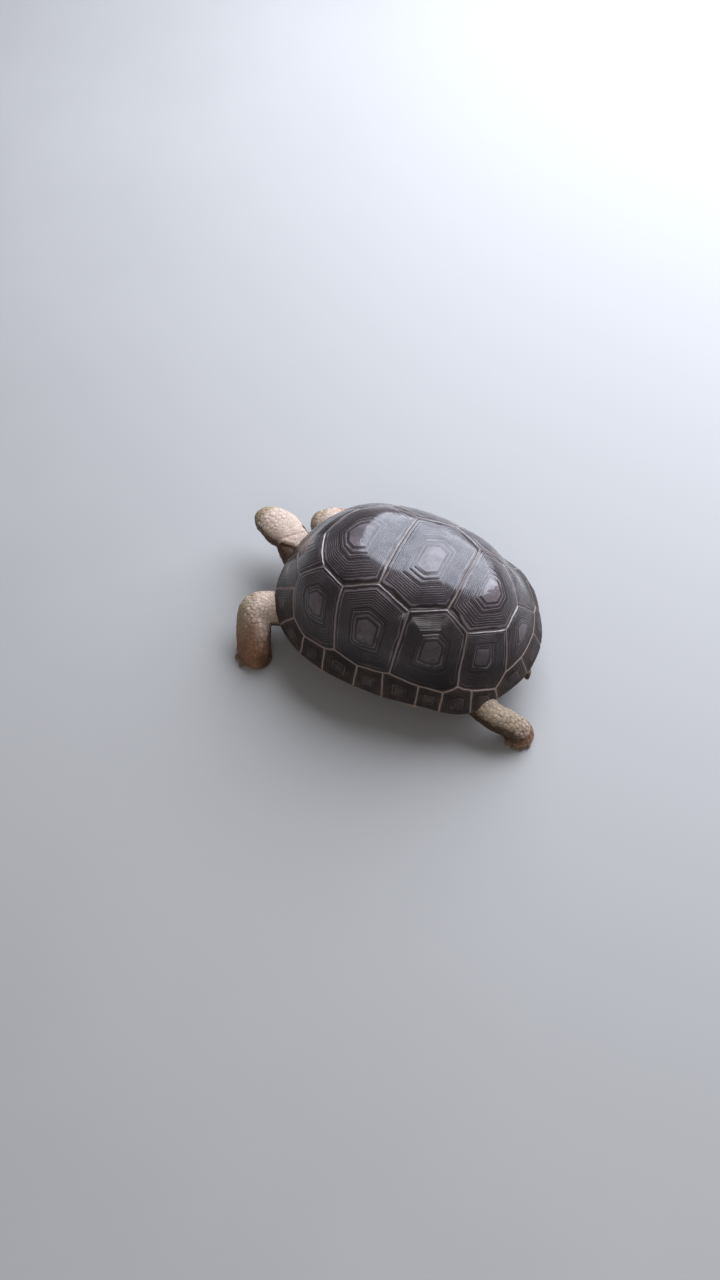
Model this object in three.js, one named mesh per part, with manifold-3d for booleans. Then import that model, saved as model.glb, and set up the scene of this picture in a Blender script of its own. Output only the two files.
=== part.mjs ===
// A young giant tortoise, life size, walking with its head turned a little to its right.
// Millimetres, +Z up, floor at Z 0. It faces -Y and its left side is +X.
import * as THREE from "three";
import { mergeVertices } from "three/addons/utils/BufferGeometryUtils.js";
import Module from "manifold-3d";

const wasm = await Module();
wasm.setup();
const { Manifold, Mesh } = wasm;

// ---- Carapace: a dome over an egg-shaped rim ----
const HALF_WIDTH = 138;
const FRONT_LENGTH = 177;
const REAR_LENGTH = 183;
const CENTRE_Y = -3;
const FRONT_POWER = 2.6; // squareness of the rim in plan, 2 is an ellipse
const REAR_POWER = 2.14;
const CROWN_Z = 174.7;
const RIM_SIDE_Z = 46.8;
const RIM_FRONT_Z = 72;
const RIM_REAR_Z = 50.4;
const WALL_POWER = 3.83; // how late the dome turns down to the rim
const WALL_SOFTNESS = 1.19;
const FLARE = 0.075; // the rim stands out over the hind legs
const FLARE_ANGLE = 0.84;
const FLARE_SPREAD = 0.22;
const PLATE = 6; // thickness of the horny plates with their bone
const SEAM = 0.22; // each plate stops this far short of its seam
const BED = 2.6; // room between the plates' flat undersides and the trunk
const FOCUS = new THREE.Vector3(0, CENTRE_Y, 45); // the plates' side walls point at it

// ---- Plastron: a flat tray whose sides turn up to the rim ----
const PLASTRON_Z = 22;
const PLASTRON_THICK = 6;
const TRAY_FLAT = 84; // half width of the flat floor
const TRAY_HALF_WIDTH = 131;
const TRAY_TOP_Z = 46.3;

// ---- Soft parts ----
const TRUNK_FRONT = 141;
const TRUNK_REAR = 149;
const GAP = 0.4; // clearance between neighbouring pieces
const HEAD_BASE = new THREE.Vector3(-32.5, -194, 68.5);
const HEAD_YAW = THREE.MathUtils.degToRad(-18.5); // turned to its right
const HEAD_PITCH = THREE.MathUtils.degToRad(3); // nose a little down
const HEAD_LENGTH = 68;
const MOUTH_Z = -5.5; // heights on the head are from its own axis
const EYE_RADIUS = 6;
const EYE_X = 17;
const EYE_Y = -43.5;
const EYE_Z = 5.4;

// ---- Where the part's origin lies in the body's own frame ----
const MIDDLE_X = 0;
const MIDDLE_Y = -21.6;

const v3 = (x, y, z = 0) => new THREE.Vector3(x, y, z);
const mix = (a, b, t) => a + (b - a) * t;
const smooth = (t) => {
  const c = Math.min(Math.max(t, 0), 1);
  return c * c * (3 - 2 * c);
};

// ---------------------------------------------------------------- shell surface

// The fraction of the way out to the rim, and the dome's height, over a point of the floor.
function shellAt(x, y, grow = 0) {
  const dy = y - CENTRE_Y;
  const length = (dy < 0 ? FRONT_LENGTH : REAR_LENGTH) + grow;
  const n = dy < 0 ? FRONT_POWER : REAR_POWER;
  const plan = (Math.abs(x) / (HALF_WIDTH + grow)) ** n + (Math.abs(dy) / length) ** n;
  const raw = Math.max(plan ** (1 / n), 1e-6);
  const along = Math.min(Math.abs(dy) / length / raw, 1);
  const turn = (Math.atan2(dy, Math.abs(x)) - FLARE_ANGLE) / FLARE_SPREAD;
  const flare = FLARE * Math.exp(-turn * turn);
  const r = raw / (1 + flare * smooth((raw - 0.8) / 0.2));
  const end = dy < 0 ? RIM_FRONT_Z : RIM_REAR_Z;
  const rim = RIM_SIDE_Z + (end - RIM_SIDE_Z) * along ** 3;
  const rise = Math.max(1 - Math.min(r, 1) ** WALL_POWER, 0) ** WALL_SOFTNESS;
  return { r, rim, z: rim + (CROWN_Z + grow - rim) * rise };
}

// Slides a point along its line from the focus until it meets the shell, then out by lift.
function onShell(p, lift = 0) {
  const ray = p.clone().sub(FOCUS).normalize();
  let near = 0;
  let far = 300;
  for (let i = 0; i < 36; i++) {
    const t = (near + far) / 2;
    const q = FOCUS.clone().addScaledVector(ray, t);
    const s = shellAt(q.x, q.y);
    if (s.r < 1 && q.z < s.z) near = t;
    else far = t;
  }
  return FOCUS.clone().addScaledVector(ray, near + lift);
}

// A point of the rim at an angle in plan, 0 to its left and -90 degrees at the nose.
function rimAt(angle) {
  const dir = v3(Math.cos(angle), Math.sin(angle));
  let near = 0;
  let far = 300;
  for (let i = 0; i < 36; i++) {
    const t = (near + far) / 2;
    if (shellAt(dir.x * t, CENTRE_Y + dir.y * t).r < 1) near = t;
    else far = t;
  }
  const x = dir.x * near;
  const y = CENTRE_Y + dir.y * near;
  return v3(x, y, shellAt(x, y).rim);
}
const top = (x, y) => v3(x, y, shellAt(x, y).z);
const rimOver = (x, y) => rimAt(Math.atan2(y - CENTRE_Y, x));

// ---------------------------------------------------------------- solids

// Closed rings of equal count joined in order, with a point at each end.
function ringGeometry(rings, first, last) {
  const n = rings[0].length;
  const points = [first, ...rings.flat(), last];
  const at = (k, i) => 1 + k * n + (i % n);
  const end = points.length - 1;
  const faces = [];
  for (let i = 0; i < n; i++) {
    faces.push([0, at(0, i + 1), at(0, i)]);
    faces.push([end, at(rings.length - 1, i), at(rings.length - 1, i + 1)]);
    for (let k = 0; k + 1 < rings.length; k++) {
      faces.push([at(k, i), at(k, i + 1), at(k + 1, i)]);
      faces.push([at(k, i + 1), at(k + 1, i + 1), at(k + 1, i)]);
    }
  }
  let volume = 0;
  for (const [i, j, k] of faces) {
    volume += points[i].dot(points[j].clone().cross(points[k]));
  }
  const out = volume > 0 ? faces : faces.map(([i, j, k]) => [i, k, j]);
  return new THREE.BufferGeometry().setFromPoints(points).setIndex(out.flat());
}

// A geometry as a solid that can be joined and cut, and back.
function solidOf(geometry) {
  const bare = geometry.clone();
  bare.deleteAttribute("normal");
  bare.deleteAttribute("uv");
  const merged = mergeVertices(bare, 1e-4);
  return new Manifold(
    new Mesh({
      numProp: 3,
      vertProperties: merged.attributes.position.array,
      triVerts: new Uint32Array(merged.index.array),
    }),
  );
}
function geometryOf(made) {
  const data = made.getMesh();
  const points = new Float32Array(data.numVert * 3);
  for (let i = 0; i < data.numVert; i++) {
    points.set(data.vertProperties.subarray(i * data.numProp, i * data.numProp + 3), i * 3);
  }
  const geometry = new THREE.BufferGeometry();
  geometry.setAttribute("position", new THREE.BufferAttribute(points, 3));
  return geometry.setIndex(new THREE.BufferAttribute(new Uint32Array(data.triVerts), 1));
}

// A box between two corners, and a prism over an outline of the floor.
function box(low, high) {
  const size = high.clone().sub(low);
  const middle = high.clone().add(low).multiplyScalar(0.5);
  return new THREE.BoxGeometry(size.x, size.y, size.z).translate(middle.x, middle.y, middle.z);
}
function prism(points, height) {
  const shape = new THREE.Shape(points.map(([x, y]) => new THREE.Vector2(x, y)));
  return new THREE.ExtrudeGeometry(shape, { depth: height, bevelEnabled: false });
}

// The block that lies behind a plane: the plane passes through a point and faces normal.
function behind(through, normal) {
  const facing = new THREE.Quaternion().setFromUnitVectors(v3(0, 0, 1), normal.clone().normalize());
  return box(v3(-90, -90, -180), v3(90, 90, 0)).applyQuaternion(facing).translate(...through.toArray());
}

// One horny plate: rings from its areola out to the seam, then back under it.
function plate(outline, areola, outer, inner) {
  const edge = outline.map((p) => {
    const reach = p.distanceTo(areola);
    return areola.clone().lerp(p, 1 - SEAM / reach);
  });
  const ring = (f, lift) => edge.map((p) => onShell(areola.clone().lerp(p, f), lift));
  const rings = outer.map(([f, lift]) => ring(f, lift));
  rings.push(...inner.map((f) => ring(f, -PLATE)));
  return ringGeometry(rings, onShell(areola, outer[0][1]), onShell(areola, -PLATE));
}

// A tapering limb or neck: stations are [x, y, z, width, depth], swept on a smooth line.
function sweep(stations, up, around = 14, steps = 14, power = 2.2) {
  const path = new THREE.CatmullRomCurve3(stations.map((s) => v3(s[0], s[1], s[2])), false, "centripetal");
  const size = (u, k) => {
    const t = u * (stations.length - 1);
    const i = Math.min(Math.floor(t), stations.length - 2);
    return mix(stations[i][k], stations[i + 1][k], smooth(t - i));
  };
  const rings = [];
  for (let j = 0; j <= steps; j++) {
    const u = j / steps;
    const centre = path.getPoint(u);
    const forward = path.getTangent(u);
    const side = up.clone().cross(forward).normalize();
    const back = forward.clone().cross(side);
    const ring = [];
    for (let i = 0; i < around; i++) {
      const a = (2 * Math.PI * i) / around;
      const c = Math.cos(a);
      const s = Math.sin(a);
      const x = Math.sign(c) * Math.abs(c) ** (2 / power) * size(u, 3);
      const y = Math.sign(s) * Math.abs(s) ** (2 / power) * size(u, 4);
      ring.push(centre.clone().addScaledVector(side, x).addScaledVector(back, y));
    }
    rings.push(ring);
  }
  return solidOf(ringGeometry(rings, path.getPoint(0), path.getPoint(1)));
}

// A cone from base to tip, six-sided: a claw.
function claw(base, tip, radius) {
  const axis = tip.clone().sub(base);
  const side = v3(0, 0, 1).cross(axis).normalize();
  const up = axis.clone().normalize().cross(side);
  const ring = (t, r) =>
    Array.from({ length: 6 }, (_, i) => {
      const a = (Math.PI * i) / 3;
      const out = base.clone().addScaledVector(axis, t);
      out.addScaledVector(side, r * Math.cos(a)).addScaledVector(up, 0.75 * r * Math.sin(a));
      return out;
    });
  return solidOf(ringGeometry([ring(0, radius), ring(0.6, radius * 0.72)], base, tip));
}

// What lies under the floor is cut away, so that soles end in one flat face.
const floorBlock = solidOf(box(v3(-400, -400, -60), v3(400, 400, 0)));
const aboveFloor = (m) => m.subtract(floorBlock);

// ---------------------------------------------------------------- the plates' seams

// Corners on the left half; the right half mirrors them.
const CORNER = {
  frontMid: top(0, -158),
  nuchal: top(14, -157),
  v1c1: top(58.7, -132.4),
  v12: top(53.1, -98.4),
  v12Mid: top(0, -124),
  c12Top: top(72.3, -62.4),
  v23: top(58, -20.3),
  v23Mid: top(0, -22),
  c23Top: top(73.3, 27.1),
  v34: top(52.2, 68.6),
  v34Mid: top(0, 70),
  c34Top: top(59, 99.4),
  v45: top(20.1, 137.1),
  v45Mid: top(0, 137.5),
  v5c4: top(50.6, 153.9),
  caudal: top(21, 163.5),
  rearMid: top(0, 165),
  c12: top(120.2, -52.4),
  c23: top(121.6, 24.8),
  c34: top(102.4, 109.4),
  m12: top(71.9, -133.5),
  m23: top(99.3, -120.4),
  m34: top(113.4, -99),
  m45: top(120.5, -66),
  m56: top(125, -17.8),
  m67: top(123, 17),
  m78: top(118, 64),
  m89: top(113.2, 94.6),
  m910: top(95.2, 126),
  m1011: top(71.4, 149.8),
  rimMid: rimOver(0, -180),
  r0: rimOver(13, -180),
  r12: rimOver(57, -173),
  r23: rimOver(101, -144),
  r34: rimOver(126, -101),
  r45: rimOver(134, -64),
  r56: rimOver(138, -18),
  r67: rimOver(138, 22),
  r78: rimOver(132, 66),
  r89: rimOver(124, 95),
  r910: rimOver(106, 127),
  r1011: rimOver(77, 158),
  r11: rimOver(25, 179),
  rimTail: rimOver(0, 180),
};

// Points along a seam from one corner up to, not including, the next.
function seam(from, to, count) {
  return Array.from({ length: count }, (_, i) => onShell(from.clone().lerp(to, i / count)));
}
function rimSeam(from, to, count) {
  const angle = (p) => Math.atan2(p.y - CENTRE_Y, p.x);
  return Array.from({ length: count }, (_, i) => rimAt(mix(angle(from), angle(to), i / count)));
}
const isRim = (name) => /^(r\d|rim)/.test(name);

// A closed outline through named corners, counts of segments by the length of each seam.
function outline(names, mirror) {
  const list = [];
  names.forEach((name, i) => {
    const next = names[(i + 1) % names.length];
    const from = CORNER[name];
    const to = CORNER[next];
    // both neighbours of a seam must sample it alike, so it is always cut from the same end
    const swap = name > next;
    const count = Math.max(1, Math.round(from.distanceTo(to) / 19));
    const make = isRim(name) && isRim(next) ? rimSeam : seam;
    const a = swap ? to : from;
    const b = swap ? from : to;
    const full = [...make(a, b, count), b];
    if (swap) full.reverse();
    list.push(...full.slice(0, -1));
  });
  return mirror ? list.map((p) => v3(-p.x, p.y, p.z)).reverse() : list;
}

const BROAD = [[0.3, 1.6], [0.9, 0.5], [1, -0.6]];
const NARROW = [[0.55, 0.8], [1, -0.4]];

// Middle plates are outlined on the left and closed by the mirrored half.
function midPlate(names, areola) {
  const left = [];
  for (let i = 0; i + 1 < names.length; i++) {
    const part = outline([names[i], names[i + 1]], false);
    left.push(...part.slice(0, part.length / 2));
  }
  left.push(CORNER[names[names.length - 1]].clone());
  const right = left
    .filter((p) => p.x > 1e-6)
    .map((p) => v3(-p.x, p.y, p.z))
    .reverse();
  return { rim: [...left, ...right], areola };
}

const nodes = [];
// A node's shape is a geometry or a solid; a head piece is placed with the head.
function add(name, made, material, onHead = false) {
  nodes.push({ name, made, material, onHead });
}

const HORN = { color: 0x302a27, roughness: 0.42, metalness: 0 };
const RIM_HORN = { color: 0x352d27, roughness: 0.5, metalness: 0 };
const BELLY = { color: 0x594b3f, roughness: 0.6, metalness: 0 };
const SKIN = { color: 0x8a6a50, roughness: 0.85, metalness: 0 };
const HEAD_SKIN = { color: 0xc8b1a0, roughness: 0.8, metalness: 0 };
const BEAK = { color: 0x7e6750, roughness: 0.5, metalness: 0 };
const EYE = { color: 0x14100e, roughness: 0.12, metalness: 0 };

const VERTEBRALS = [
  [["frontMid", "nuchal", "v1c1", "v12", "v12Mid"], top(0, -138)],
  [["v12Mid", "v12", "c12Top", "v23", "v23Mid"], top(0, -71)],
  [["v23Mid", "v23", "c23Top", "v34", "v34Mid"], top(0, 24)],
  [["v34Mid", "v34", "c34Top", "v45", "v45Mid"], top(0, 104)],
  [["v45Mid", "v45", "v5c4", "caudal", "rearMid"], top(0, 152)],
];
VERTEBRALS.forEach(([names, areola], i) => {
  const p = midPlate(names, areola);
  add(`vertebral_${i + 1}`, plate(p.rim, onShell(p.areola), BROAD, [1, 0.5]), HORN);
});

const COSTALS = [
  [["v1c1", "v12", "c12Top", "c12", "m45", "m34", "m23", "m12"], top(89.2, -89.4)],
  [["c12Top", "v23", "c23Top", "c23", "m67", "m56", "c12"], top(103.7, -15.8)],
  [["c23Top", "v34", "c34Top", "c34", "m89", "m78", "c23"], top(93.1, 67)],
  [["c34Top", "v45", "v5c4", "m1011", "m910", "c34"], top(64.4, 120.7)],
];
const MARGINALS = [
  ["nuchal", "v1c1", "m12", "r12", "r0"],
  ["m12", "m23", "r23", "r12"],
  ["m23", "m34", "r34", "r23"],
  ["m34", "m45", "r45", "r34"],
  ["m45", "c12", "m56", "r56", "r45"],
  ["m56", "m67", "r67", "r56"],
  ["m67", "c23", "m78", "r78", "r67"],
  ["m78", "m89", "r89", "r78"],
  ["m89", "c34", "m910", "r910", "r89"],
  ["m910", "m1011", "r1011", "r910"],
  ["m1011", "v5c4", "caudal", "r11", "r1011"],
];
const centreOf = (list) =>
  list.reduce((sum, p) => sum.add(p), v3(0, 0)).multiplyScalar(1 / list.length);

for (const mirror of [false, true]) {
  const side = mirror ? "right" : "left";
  COSTALS.forEach(([names, areola], i) => {
    const centre = mirror ? v3(-areola.x, areola.y, areola.z) : areola;
    const rim = outline(names, mirror);
    add(`costal_${side}_${i + 1}`, plate(rim, onShell(centre), BROAD, [1, 0.5]), HORN);
  });
  MARGINALS.forEach((names, i) => {
    const rim = outline(names, mirror);
    add(`marginal_${side}_${i + 1}`, plate(rim, onShell(centreOf(rim)), NARROW, [1]), RIM_HORN);
  });
}
for (const [name, names] of [
  ["nuchal", ["rimMid", "r0", "nuchal", "frontMid"]],
  ["supracaudal", ["rearMid", "caudal", "r11", "rimTail"]],
]) {
  const p = midPlate(names, null);
  add(name, plate(p.rim, onShell(centreOf(p.rim)), NARROW, [1]), RIM_HORN);
}

// ---------------------------------------------------------------- plastron

// The tray's cross-section over its width, run along the whole length and set to its depth.
function tray(raise, floor) {
  const flat = TRAY_FLAT;
  const wide = TRAY_HALF_WIDTH;
  const topZ = PLASTRON_Z + PLASTRON_THICK + raise;
  const upper = [
    [wide + raise * 2, TRAY_TOP_Z + raise],
    [wide - 5, TRAY_TOP_Z + raise],
    [107, 35.5 + raise],
    [flat - 2, topZ],
  ];
  const lower = [[flat, floor ?? PLASTRON_Z], [110, floor ?? 30], [wide + raise * 2, floor ?? 41.5]];
  const half = [...lower, ...upper];
  const other = half.map(([x, z]) => [-x, z]).reverse();
  const run = prism([...half, ...other], 400).translate(0, 0, -200);
  return solidOf(run.rotateX(Math.PI / 2));
}
const LOBES = [
  [0, -161], [27, -159], [38, -140], [60, -123], [74, -103], [82, -90], [131, -80],
  [131, 66], [84, 74], [76, 96], [64, 120], [46, 142], [35, 154], [0, 139],
];
// The plan of the plastron; its wings follow the rim and stop short of it.
function lobes(inset) {
  const half = LOBES.map(([x, y]) => {
    if (x < 120) return [x, y];
    const rim = rimOver(x, y);
    const room = Math.hypot(rim.x, rim.y - CENTRE_Y) - 5 - inset;
    const share = Math.min(1, room / Math.hypot(x, y - CENTRE_Y));
    return [x * share, CENTRE_Y + (y - CENTRE_Y) * share];
  });
  const mid = [[131, -40], [131, 0], [131, 34]].map(([x, y]) => [Math.min(x, rimOver(x, y).x - 5 - inset), y]);
  const left = [...half.slice(0, 7), ...mid, ...half.slice(7)];
  const right = left.filter(([x]) => x > 0).map(([x, y]) => [-x, y]).reverse();
  return [...left, ...right];
}
const plastron = tray(0).intersect(solidOf(prism(lobes(0), 60)));
const SHIELDS = [
  ["gular", -170, -134],
  ["humeral", -134, -90],
  ["pectoral", -90, -54],
  ["abdominal", -54, 74],
  ["femoral", 74, 108],
  ["anal", 108, 170],
];
for (const [name, from, to] of SHIELDS) {
  const slab = solidOf(box(v3(-150, from + SEAM, 0), v3(150, to - SEAM, 80)));
  add(`plastron_${name}`, plastron.intersect(slab), BELLY);
}

// ---------------------------------------------------------------- soft body

// The inside of the dome down to the floor, its skin set in by depth.
function domeSolid(depth, around = 40) {
  const rings = [];
  for (const r of [0.35, 0.6, 0.78, 0.9, 1]) {
    const ring = [];
    for (let i = 0; i < around; i++) {
      const rim = rimAt((2 * Math.PI * i) / around);
      const x = rim.x * r;
      const y = CENTRE_Y + (rim.y - CENTRE_Y) * r;
      const z = r === 1 ? rim.z : shellAt(x, y).z;
      ring.push(onShell(v3(x, y, z), -depth));
    }
    rings.push(ring);
  }
  const base = rings[rings.length - 1].map((p) => v3(p.x, p.y, 10));
  const crown = onShell(v3(0, CENTRE_Y, 170), -depth);
  return solidOf(ringGeometry([...rings, base], crown, v3(0, CENTRE_Y, 10)));
}
function trunkSolid(grow) {
  const plan = [];
  for (let i = 0; i < 36; i++) {
    const a = (Math.PI * i) / 18;
    const c = Math.cos(a);
    const s = Math.sin(a);
    const reach = (s < 0 ? TRUNK_FRONT : TRUNK_REAR) + grow;
    const x = Math.sign(c) * Math.abs(c) ** 0.72 * (133 + grow);
    plan.push([x, CENTRE_Y + Math.sign(s) * Math.abs(s) ** 0.8 * reach]);
  }
  const wall = solidOf(prism(plan, 220));
  return domeSolid(PLATE + BED - grow)
    .intersect(wall)
    .subtract(tray(GAP - grow, -20));
}
const trunk = trunkSolid(0);
const trunkRoom = trunkSolid(GAP);
const lowBlock = solidOf(box(v3(-200, -240, -10), v3(200, 240, RIM_SIDE_Z - 1)));
const carapaceRoom = domeSolid(-2.6).subtract(domeSolid(PLATE + BED)).subtract(lowBlock);
const plastronRoom = tray(GAP).intersect(solidOf(prism(lobes(-GAP), 60)));
const body = (m) => m.subtract(trunkRoom).subtract(carapaceRoom).subtract(plastronRoom);
const biggest = (m) => m.decompose().sort((a, b) => b.volume() - a.volume())[0];

// ---- Legs ----
const UP = v3(0, 0, 1);
// Each station is x, y, z, half width across the limb, half depth along the body.
const LEGS = {
  front_left: {
    up: v3(0.45, 0.85, 0.3),
    path: [
      [44, -118, 56, 25, 24],
      [66, -154, 46, 23, 24],
      [86, -185, 49, 21, 26],
      [107, -181, 31, 20.5, 28],
      [121, -174, 12, 20.5, 27.5],
      [125, -171, -6, 21, 26.5],
    ],
    toes: { centre: [124, -171], reach: 24, from: -150, to: -22, count: 5, length: 8 },
  },
  front_right: {
    up: v3(-0.45, 0.85, 0.3),
    path: [
      [-46, -118, 56, 25, 24],
      [-72, -150, 42, 23, 24],
      [-94, -171, 43, 21, 25],
      [-112, -166, 28, 20, 26.5],
      [-122, -158, 12, 20, 26],
      [-125, -156, -6, 21, 25],
    ],
    toes: { centre: [-124, -157], reach: 24, from: -158, to: -30, count: 5, length: 8 },
  },
  hind_left: {
    up: v3(0.2, 0.3, 1),
    path: [
      [56, 98, 50, 27, 24],
      [81, 130, 40, 21, 21],
      [92, 157, 34, 17.5, 18.5],
      [90, 181, 26, 17.5, 18],
      [87, 193, 11, 18.5, 19],
      [86, 195, -6, 20.5, 19.5],
    ],
    toes: { centre: [87, 194], reach: 17.5, from: -28, to: 62, count: 4, length: 8 },
  },
  hind_right: {
    up: v3(-0.9, 0.2, 0.3),
    path: [
      [-58, 92, 50, 26, 24],
      [-92, 80, 42, 22, 23],
      [-112, 84, 30, 18, 20],
      [-116, 96, 18, 18, 18],
      [-116, 100, 8, 19, 19],
      [-116, 101, -6, 20, 19],
    ],
    toes: { centre: [-116, 100], reach: 18, from: 170, to: 262, count: 4, length: 8 },
  },
};
for (const [name, leg] of Object.entries(LEGS)) {
  let made = sweep(leg.path, leg.up.clone().normalize(), 14, 13, 2.3);
  const { centre, reach, from, to, count, length } = leg.toes;
  for (let i = 0; i < count; i++) {
    const a = THREE.MathUtils.degToRad(mix(from, to, i / (count - 1)));
    const out = v3(Math.cos(a), Math.sin(a));
    const base = v3(centre[0], centre[1], 7).addScaledVector(out, reach - 5);
    const tip = v3(centre[0], centre[1], 2.5).addScaledVector(out, reach + length);
    made = made.add(claw(base, tip, 4.6));
  }
  add(`leg_${name}`, biggest(body(aboveFloor(made))), SKIN);
}

// ---- Tail ----
const tail = sweep(
  [[0, 132, 50, 15, 14], [3, 157, 40, 12, 12], [8, 171, 29, 8, 8], [12, 176, 19, 3.5, 3.5]],
  v3(1, 0, 0), 10, 8, 2,
);
add("tail", biggest(body(tail)), SKIN);

// ---- Head: sections along its own axis, then set on the neck ----
// distance from the nape, half width, height above and depth below the axis
const HEAD_SECTIONS = [
  [0, 23.5, 16.2, 15.6],
  [6, 25.4, 18, 16.8],
  [14, 27, 19.8, 17.4],
  [24, 27.2, 20.6, 16.8],
  [34, 25.4, 20.4, 15.8],
  [43, 22.6, 19, 14.4],
  [51, 19.4, 16.8, 13.4],
  [58, 16, 13.4, 12.4],
  [63.5, 12.4, 9.4, 11],
  [67, 7.4, 4.4, 8.6],
];
const headRings = HEAD_SECTIONS.map(([s, w, h, d]) =>
  Array.from({ length: 18 }, (_, i) => {
    const a = (2 * Math.PI * i) / 18;
    const c = Math.cos(a);
    const q = Math.sin(a);
    const x = Math.sign(c) * Math.abs(c) ** 0.82 * w;
    const z = Math.sign(q) * Math.abs(q) ** 0.86 * (q > 0 ? h : d);
    return v3(x, -s, z);
  }),
);
const skull = solidOf(ringGeometry(headRings, v3(0, 0, 0), v3(0, -HEAD_LENGTH, -2.5)));
const ball = (radius, side) =>
  solidOf(new THREE.SphereGeometry(radius, 16, 10).translate(side * EYE_X, EYE_Y, EYE_Z));

// The beak caps the front of both jaws; the mouth line runs back under the eye.
function upperZone(grow) {
  const block = solidOf(box(v3(-40, -90, MOUTH_Z + 0.25 - grow), v3(40, -30, 30)));
  return block.subtract(solidOf(behind(v3(0, -60 + grow, 3 + grow), v3(0, -0.5, -1))));
}
function lowerZone(grow) {
  const block = solidOf(box(v3(-40, -90, -30), v3(40, -30, MOUTH_Z - 0.25 + grow)));
  return block.subtract(solidOf(behind(v3(0, -49 + grow, MOUTH_Z), v3(0, -1, 0.25))));
}
const mouth = solidOf(box(v3(-40, -70, MOUTH_Z - 0.25), v3(40, -36, MOUTH_Z + 0.25)));
const flesh = skull
  .subtract(ball(EYE_RADIUS + 0.35, 1))
  .subtract(ball(EYE_RADIUS + 0.35, -1))
  .subtract(mouth)
  .subtract(upperZone(0.3))
  .subtract(lowerZone(0.3));

add("head", biggest(flesh), HEAD_SKIN, true);
add("beak_upper", biggest(skull.intersect(upperZone(0))), BEAK, true);
add("beak_lower", biggest(skull.intersect(lowerZone(0))), BEAK, true);
add("eye_left", ball(EYE_RADIUS, 1), EYE, true);
add("eye_right", ball(EYE_RADIUS, -1), EYE, true);

const headGroup = new THREE.Group();
headGroup.position.copy(HEAD_BASE);
headGroup.rotation.set(HEAD_PITCH, 0, HEAD_YAW, "ZYX");
headGroup.updateMatrix();

// ---- Neck ----
const neck = sweep(
  [[4, -128, 58, 30, 24], [-5, -157, 57, 28.5, 21], [-21, -179, 61.5, 28, 19], [-33, -197, 68.5, 25, 17.5]],
  v3(0, 0, 1), 16, 9, 2.1,
);
const headRoom = solidOf(box(v3(-40, -90, -40), v3(40, GAP, 40)).applyMatrix4(headGroup.matrix));
add("neck", biggest(body(neck).subtract(headRoom)), SKIN);
add("trunk", trunk, SKIN);

// ---------------------------------------------------------------- scene

// The part's origin is on the floor under the middle of its bounding box.
const figure = new THREE.Group();
figure.position.set(-MIDDLE_X, -MIDDLE_Y, 0);
figure.add(headGroup);
for (const { name, made, material, onHead } of nodes) {
  const geometry = made.isBufferGeometry ? made : geometryOf(made);
  geometry.computeVertexNormals();
  const mesh = new THREE.Mesh(geometry, new THREE.MeshStandardMaterial(material));
  mesh.name = name;
  (onHead ? headGroup : figure).add(mesh);
}
const tortoise = new THREE.Group();
tortoise.name = "young_giant_tortoise";
tortoise.add(figure);

export default tortoise;
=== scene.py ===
"""A young giant tortoise: horn plates, one skin with scales, beak, eyes and claws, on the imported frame."""

import math

import bmesh
import bpy
import numpy as np
from mathutils import Matrix, Vector, noise
from mathutils.bvhtree import BVHTree
from mathutils.kdtree import KDTree


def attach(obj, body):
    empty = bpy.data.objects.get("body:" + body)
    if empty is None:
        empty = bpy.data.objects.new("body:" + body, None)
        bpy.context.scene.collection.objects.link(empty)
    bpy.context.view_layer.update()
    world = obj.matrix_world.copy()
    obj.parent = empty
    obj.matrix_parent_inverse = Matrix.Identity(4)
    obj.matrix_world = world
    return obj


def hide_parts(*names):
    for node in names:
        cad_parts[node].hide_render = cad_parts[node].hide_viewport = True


bl_info = {
    "name": "Young Giant Tortoise",
    "version": (1, 0, 0),
    "blender": (4, 5, 0),
    "location": "View3D > Sidebar > Tortoise",
    "description": "Builds a life-size young giant tortoise, piece by piece",
    "category": "Add Mesh",
}

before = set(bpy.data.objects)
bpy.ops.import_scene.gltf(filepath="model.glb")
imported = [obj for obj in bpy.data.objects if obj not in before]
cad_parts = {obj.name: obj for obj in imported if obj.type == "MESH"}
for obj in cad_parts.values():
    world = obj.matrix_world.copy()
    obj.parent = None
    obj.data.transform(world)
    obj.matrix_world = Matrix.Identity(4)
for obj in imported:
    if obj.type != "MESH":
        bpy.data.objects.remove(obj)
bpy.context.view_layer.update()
BODY = "root"

# The animal is laid out in millimetres from the middle of its shell, and set on the part's origin here.
MIDDLE = np.array([0.0, 21.6, 0.0])


def in_part(points):
    """Millimetres in the animal's own frame to metres in the part's."""
    return (np.asarray(points, float) + MIDDLE) * 0.001


# ------------------------------------------------------------------ the carapace's surface

HALF_WIDTH, FRONT_LENGTH, REAR_LENGTH, CENTRE_Y = 138.0, 177.0, 183.0, -3.0
FRONT_POWER, REAR_POWER = 2.6, 2.14
CROWN_Z, RIM_SIDE_Z, RIM_FRONT_Z, RIM_REAR_Z = 174.7, 46.8, 72.0, 50.4
WALL_POWER, WALL_SOFTNESS = 3.83, 1.19
FLARE, FLARE_ANGLE, FLARE_SPREAD = 0.075, 0.84, 0.22
FOCUS = np.array([0.0, CENTRE_Y, 45.0])
# Blender seeds vector noise from the clock, so the seams' wander is given a seed of its own.
SEAM_SEED = 1795385279


def smooth(t):
    t = np.clip(t, 0, 1)
    return t * t * (3 - 2 * t)


def bell(offset, width=1.0):
    """One at no offset, falling away over width on both sides."""
    return np.exp(-((offset / width) ** 2))


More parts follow.
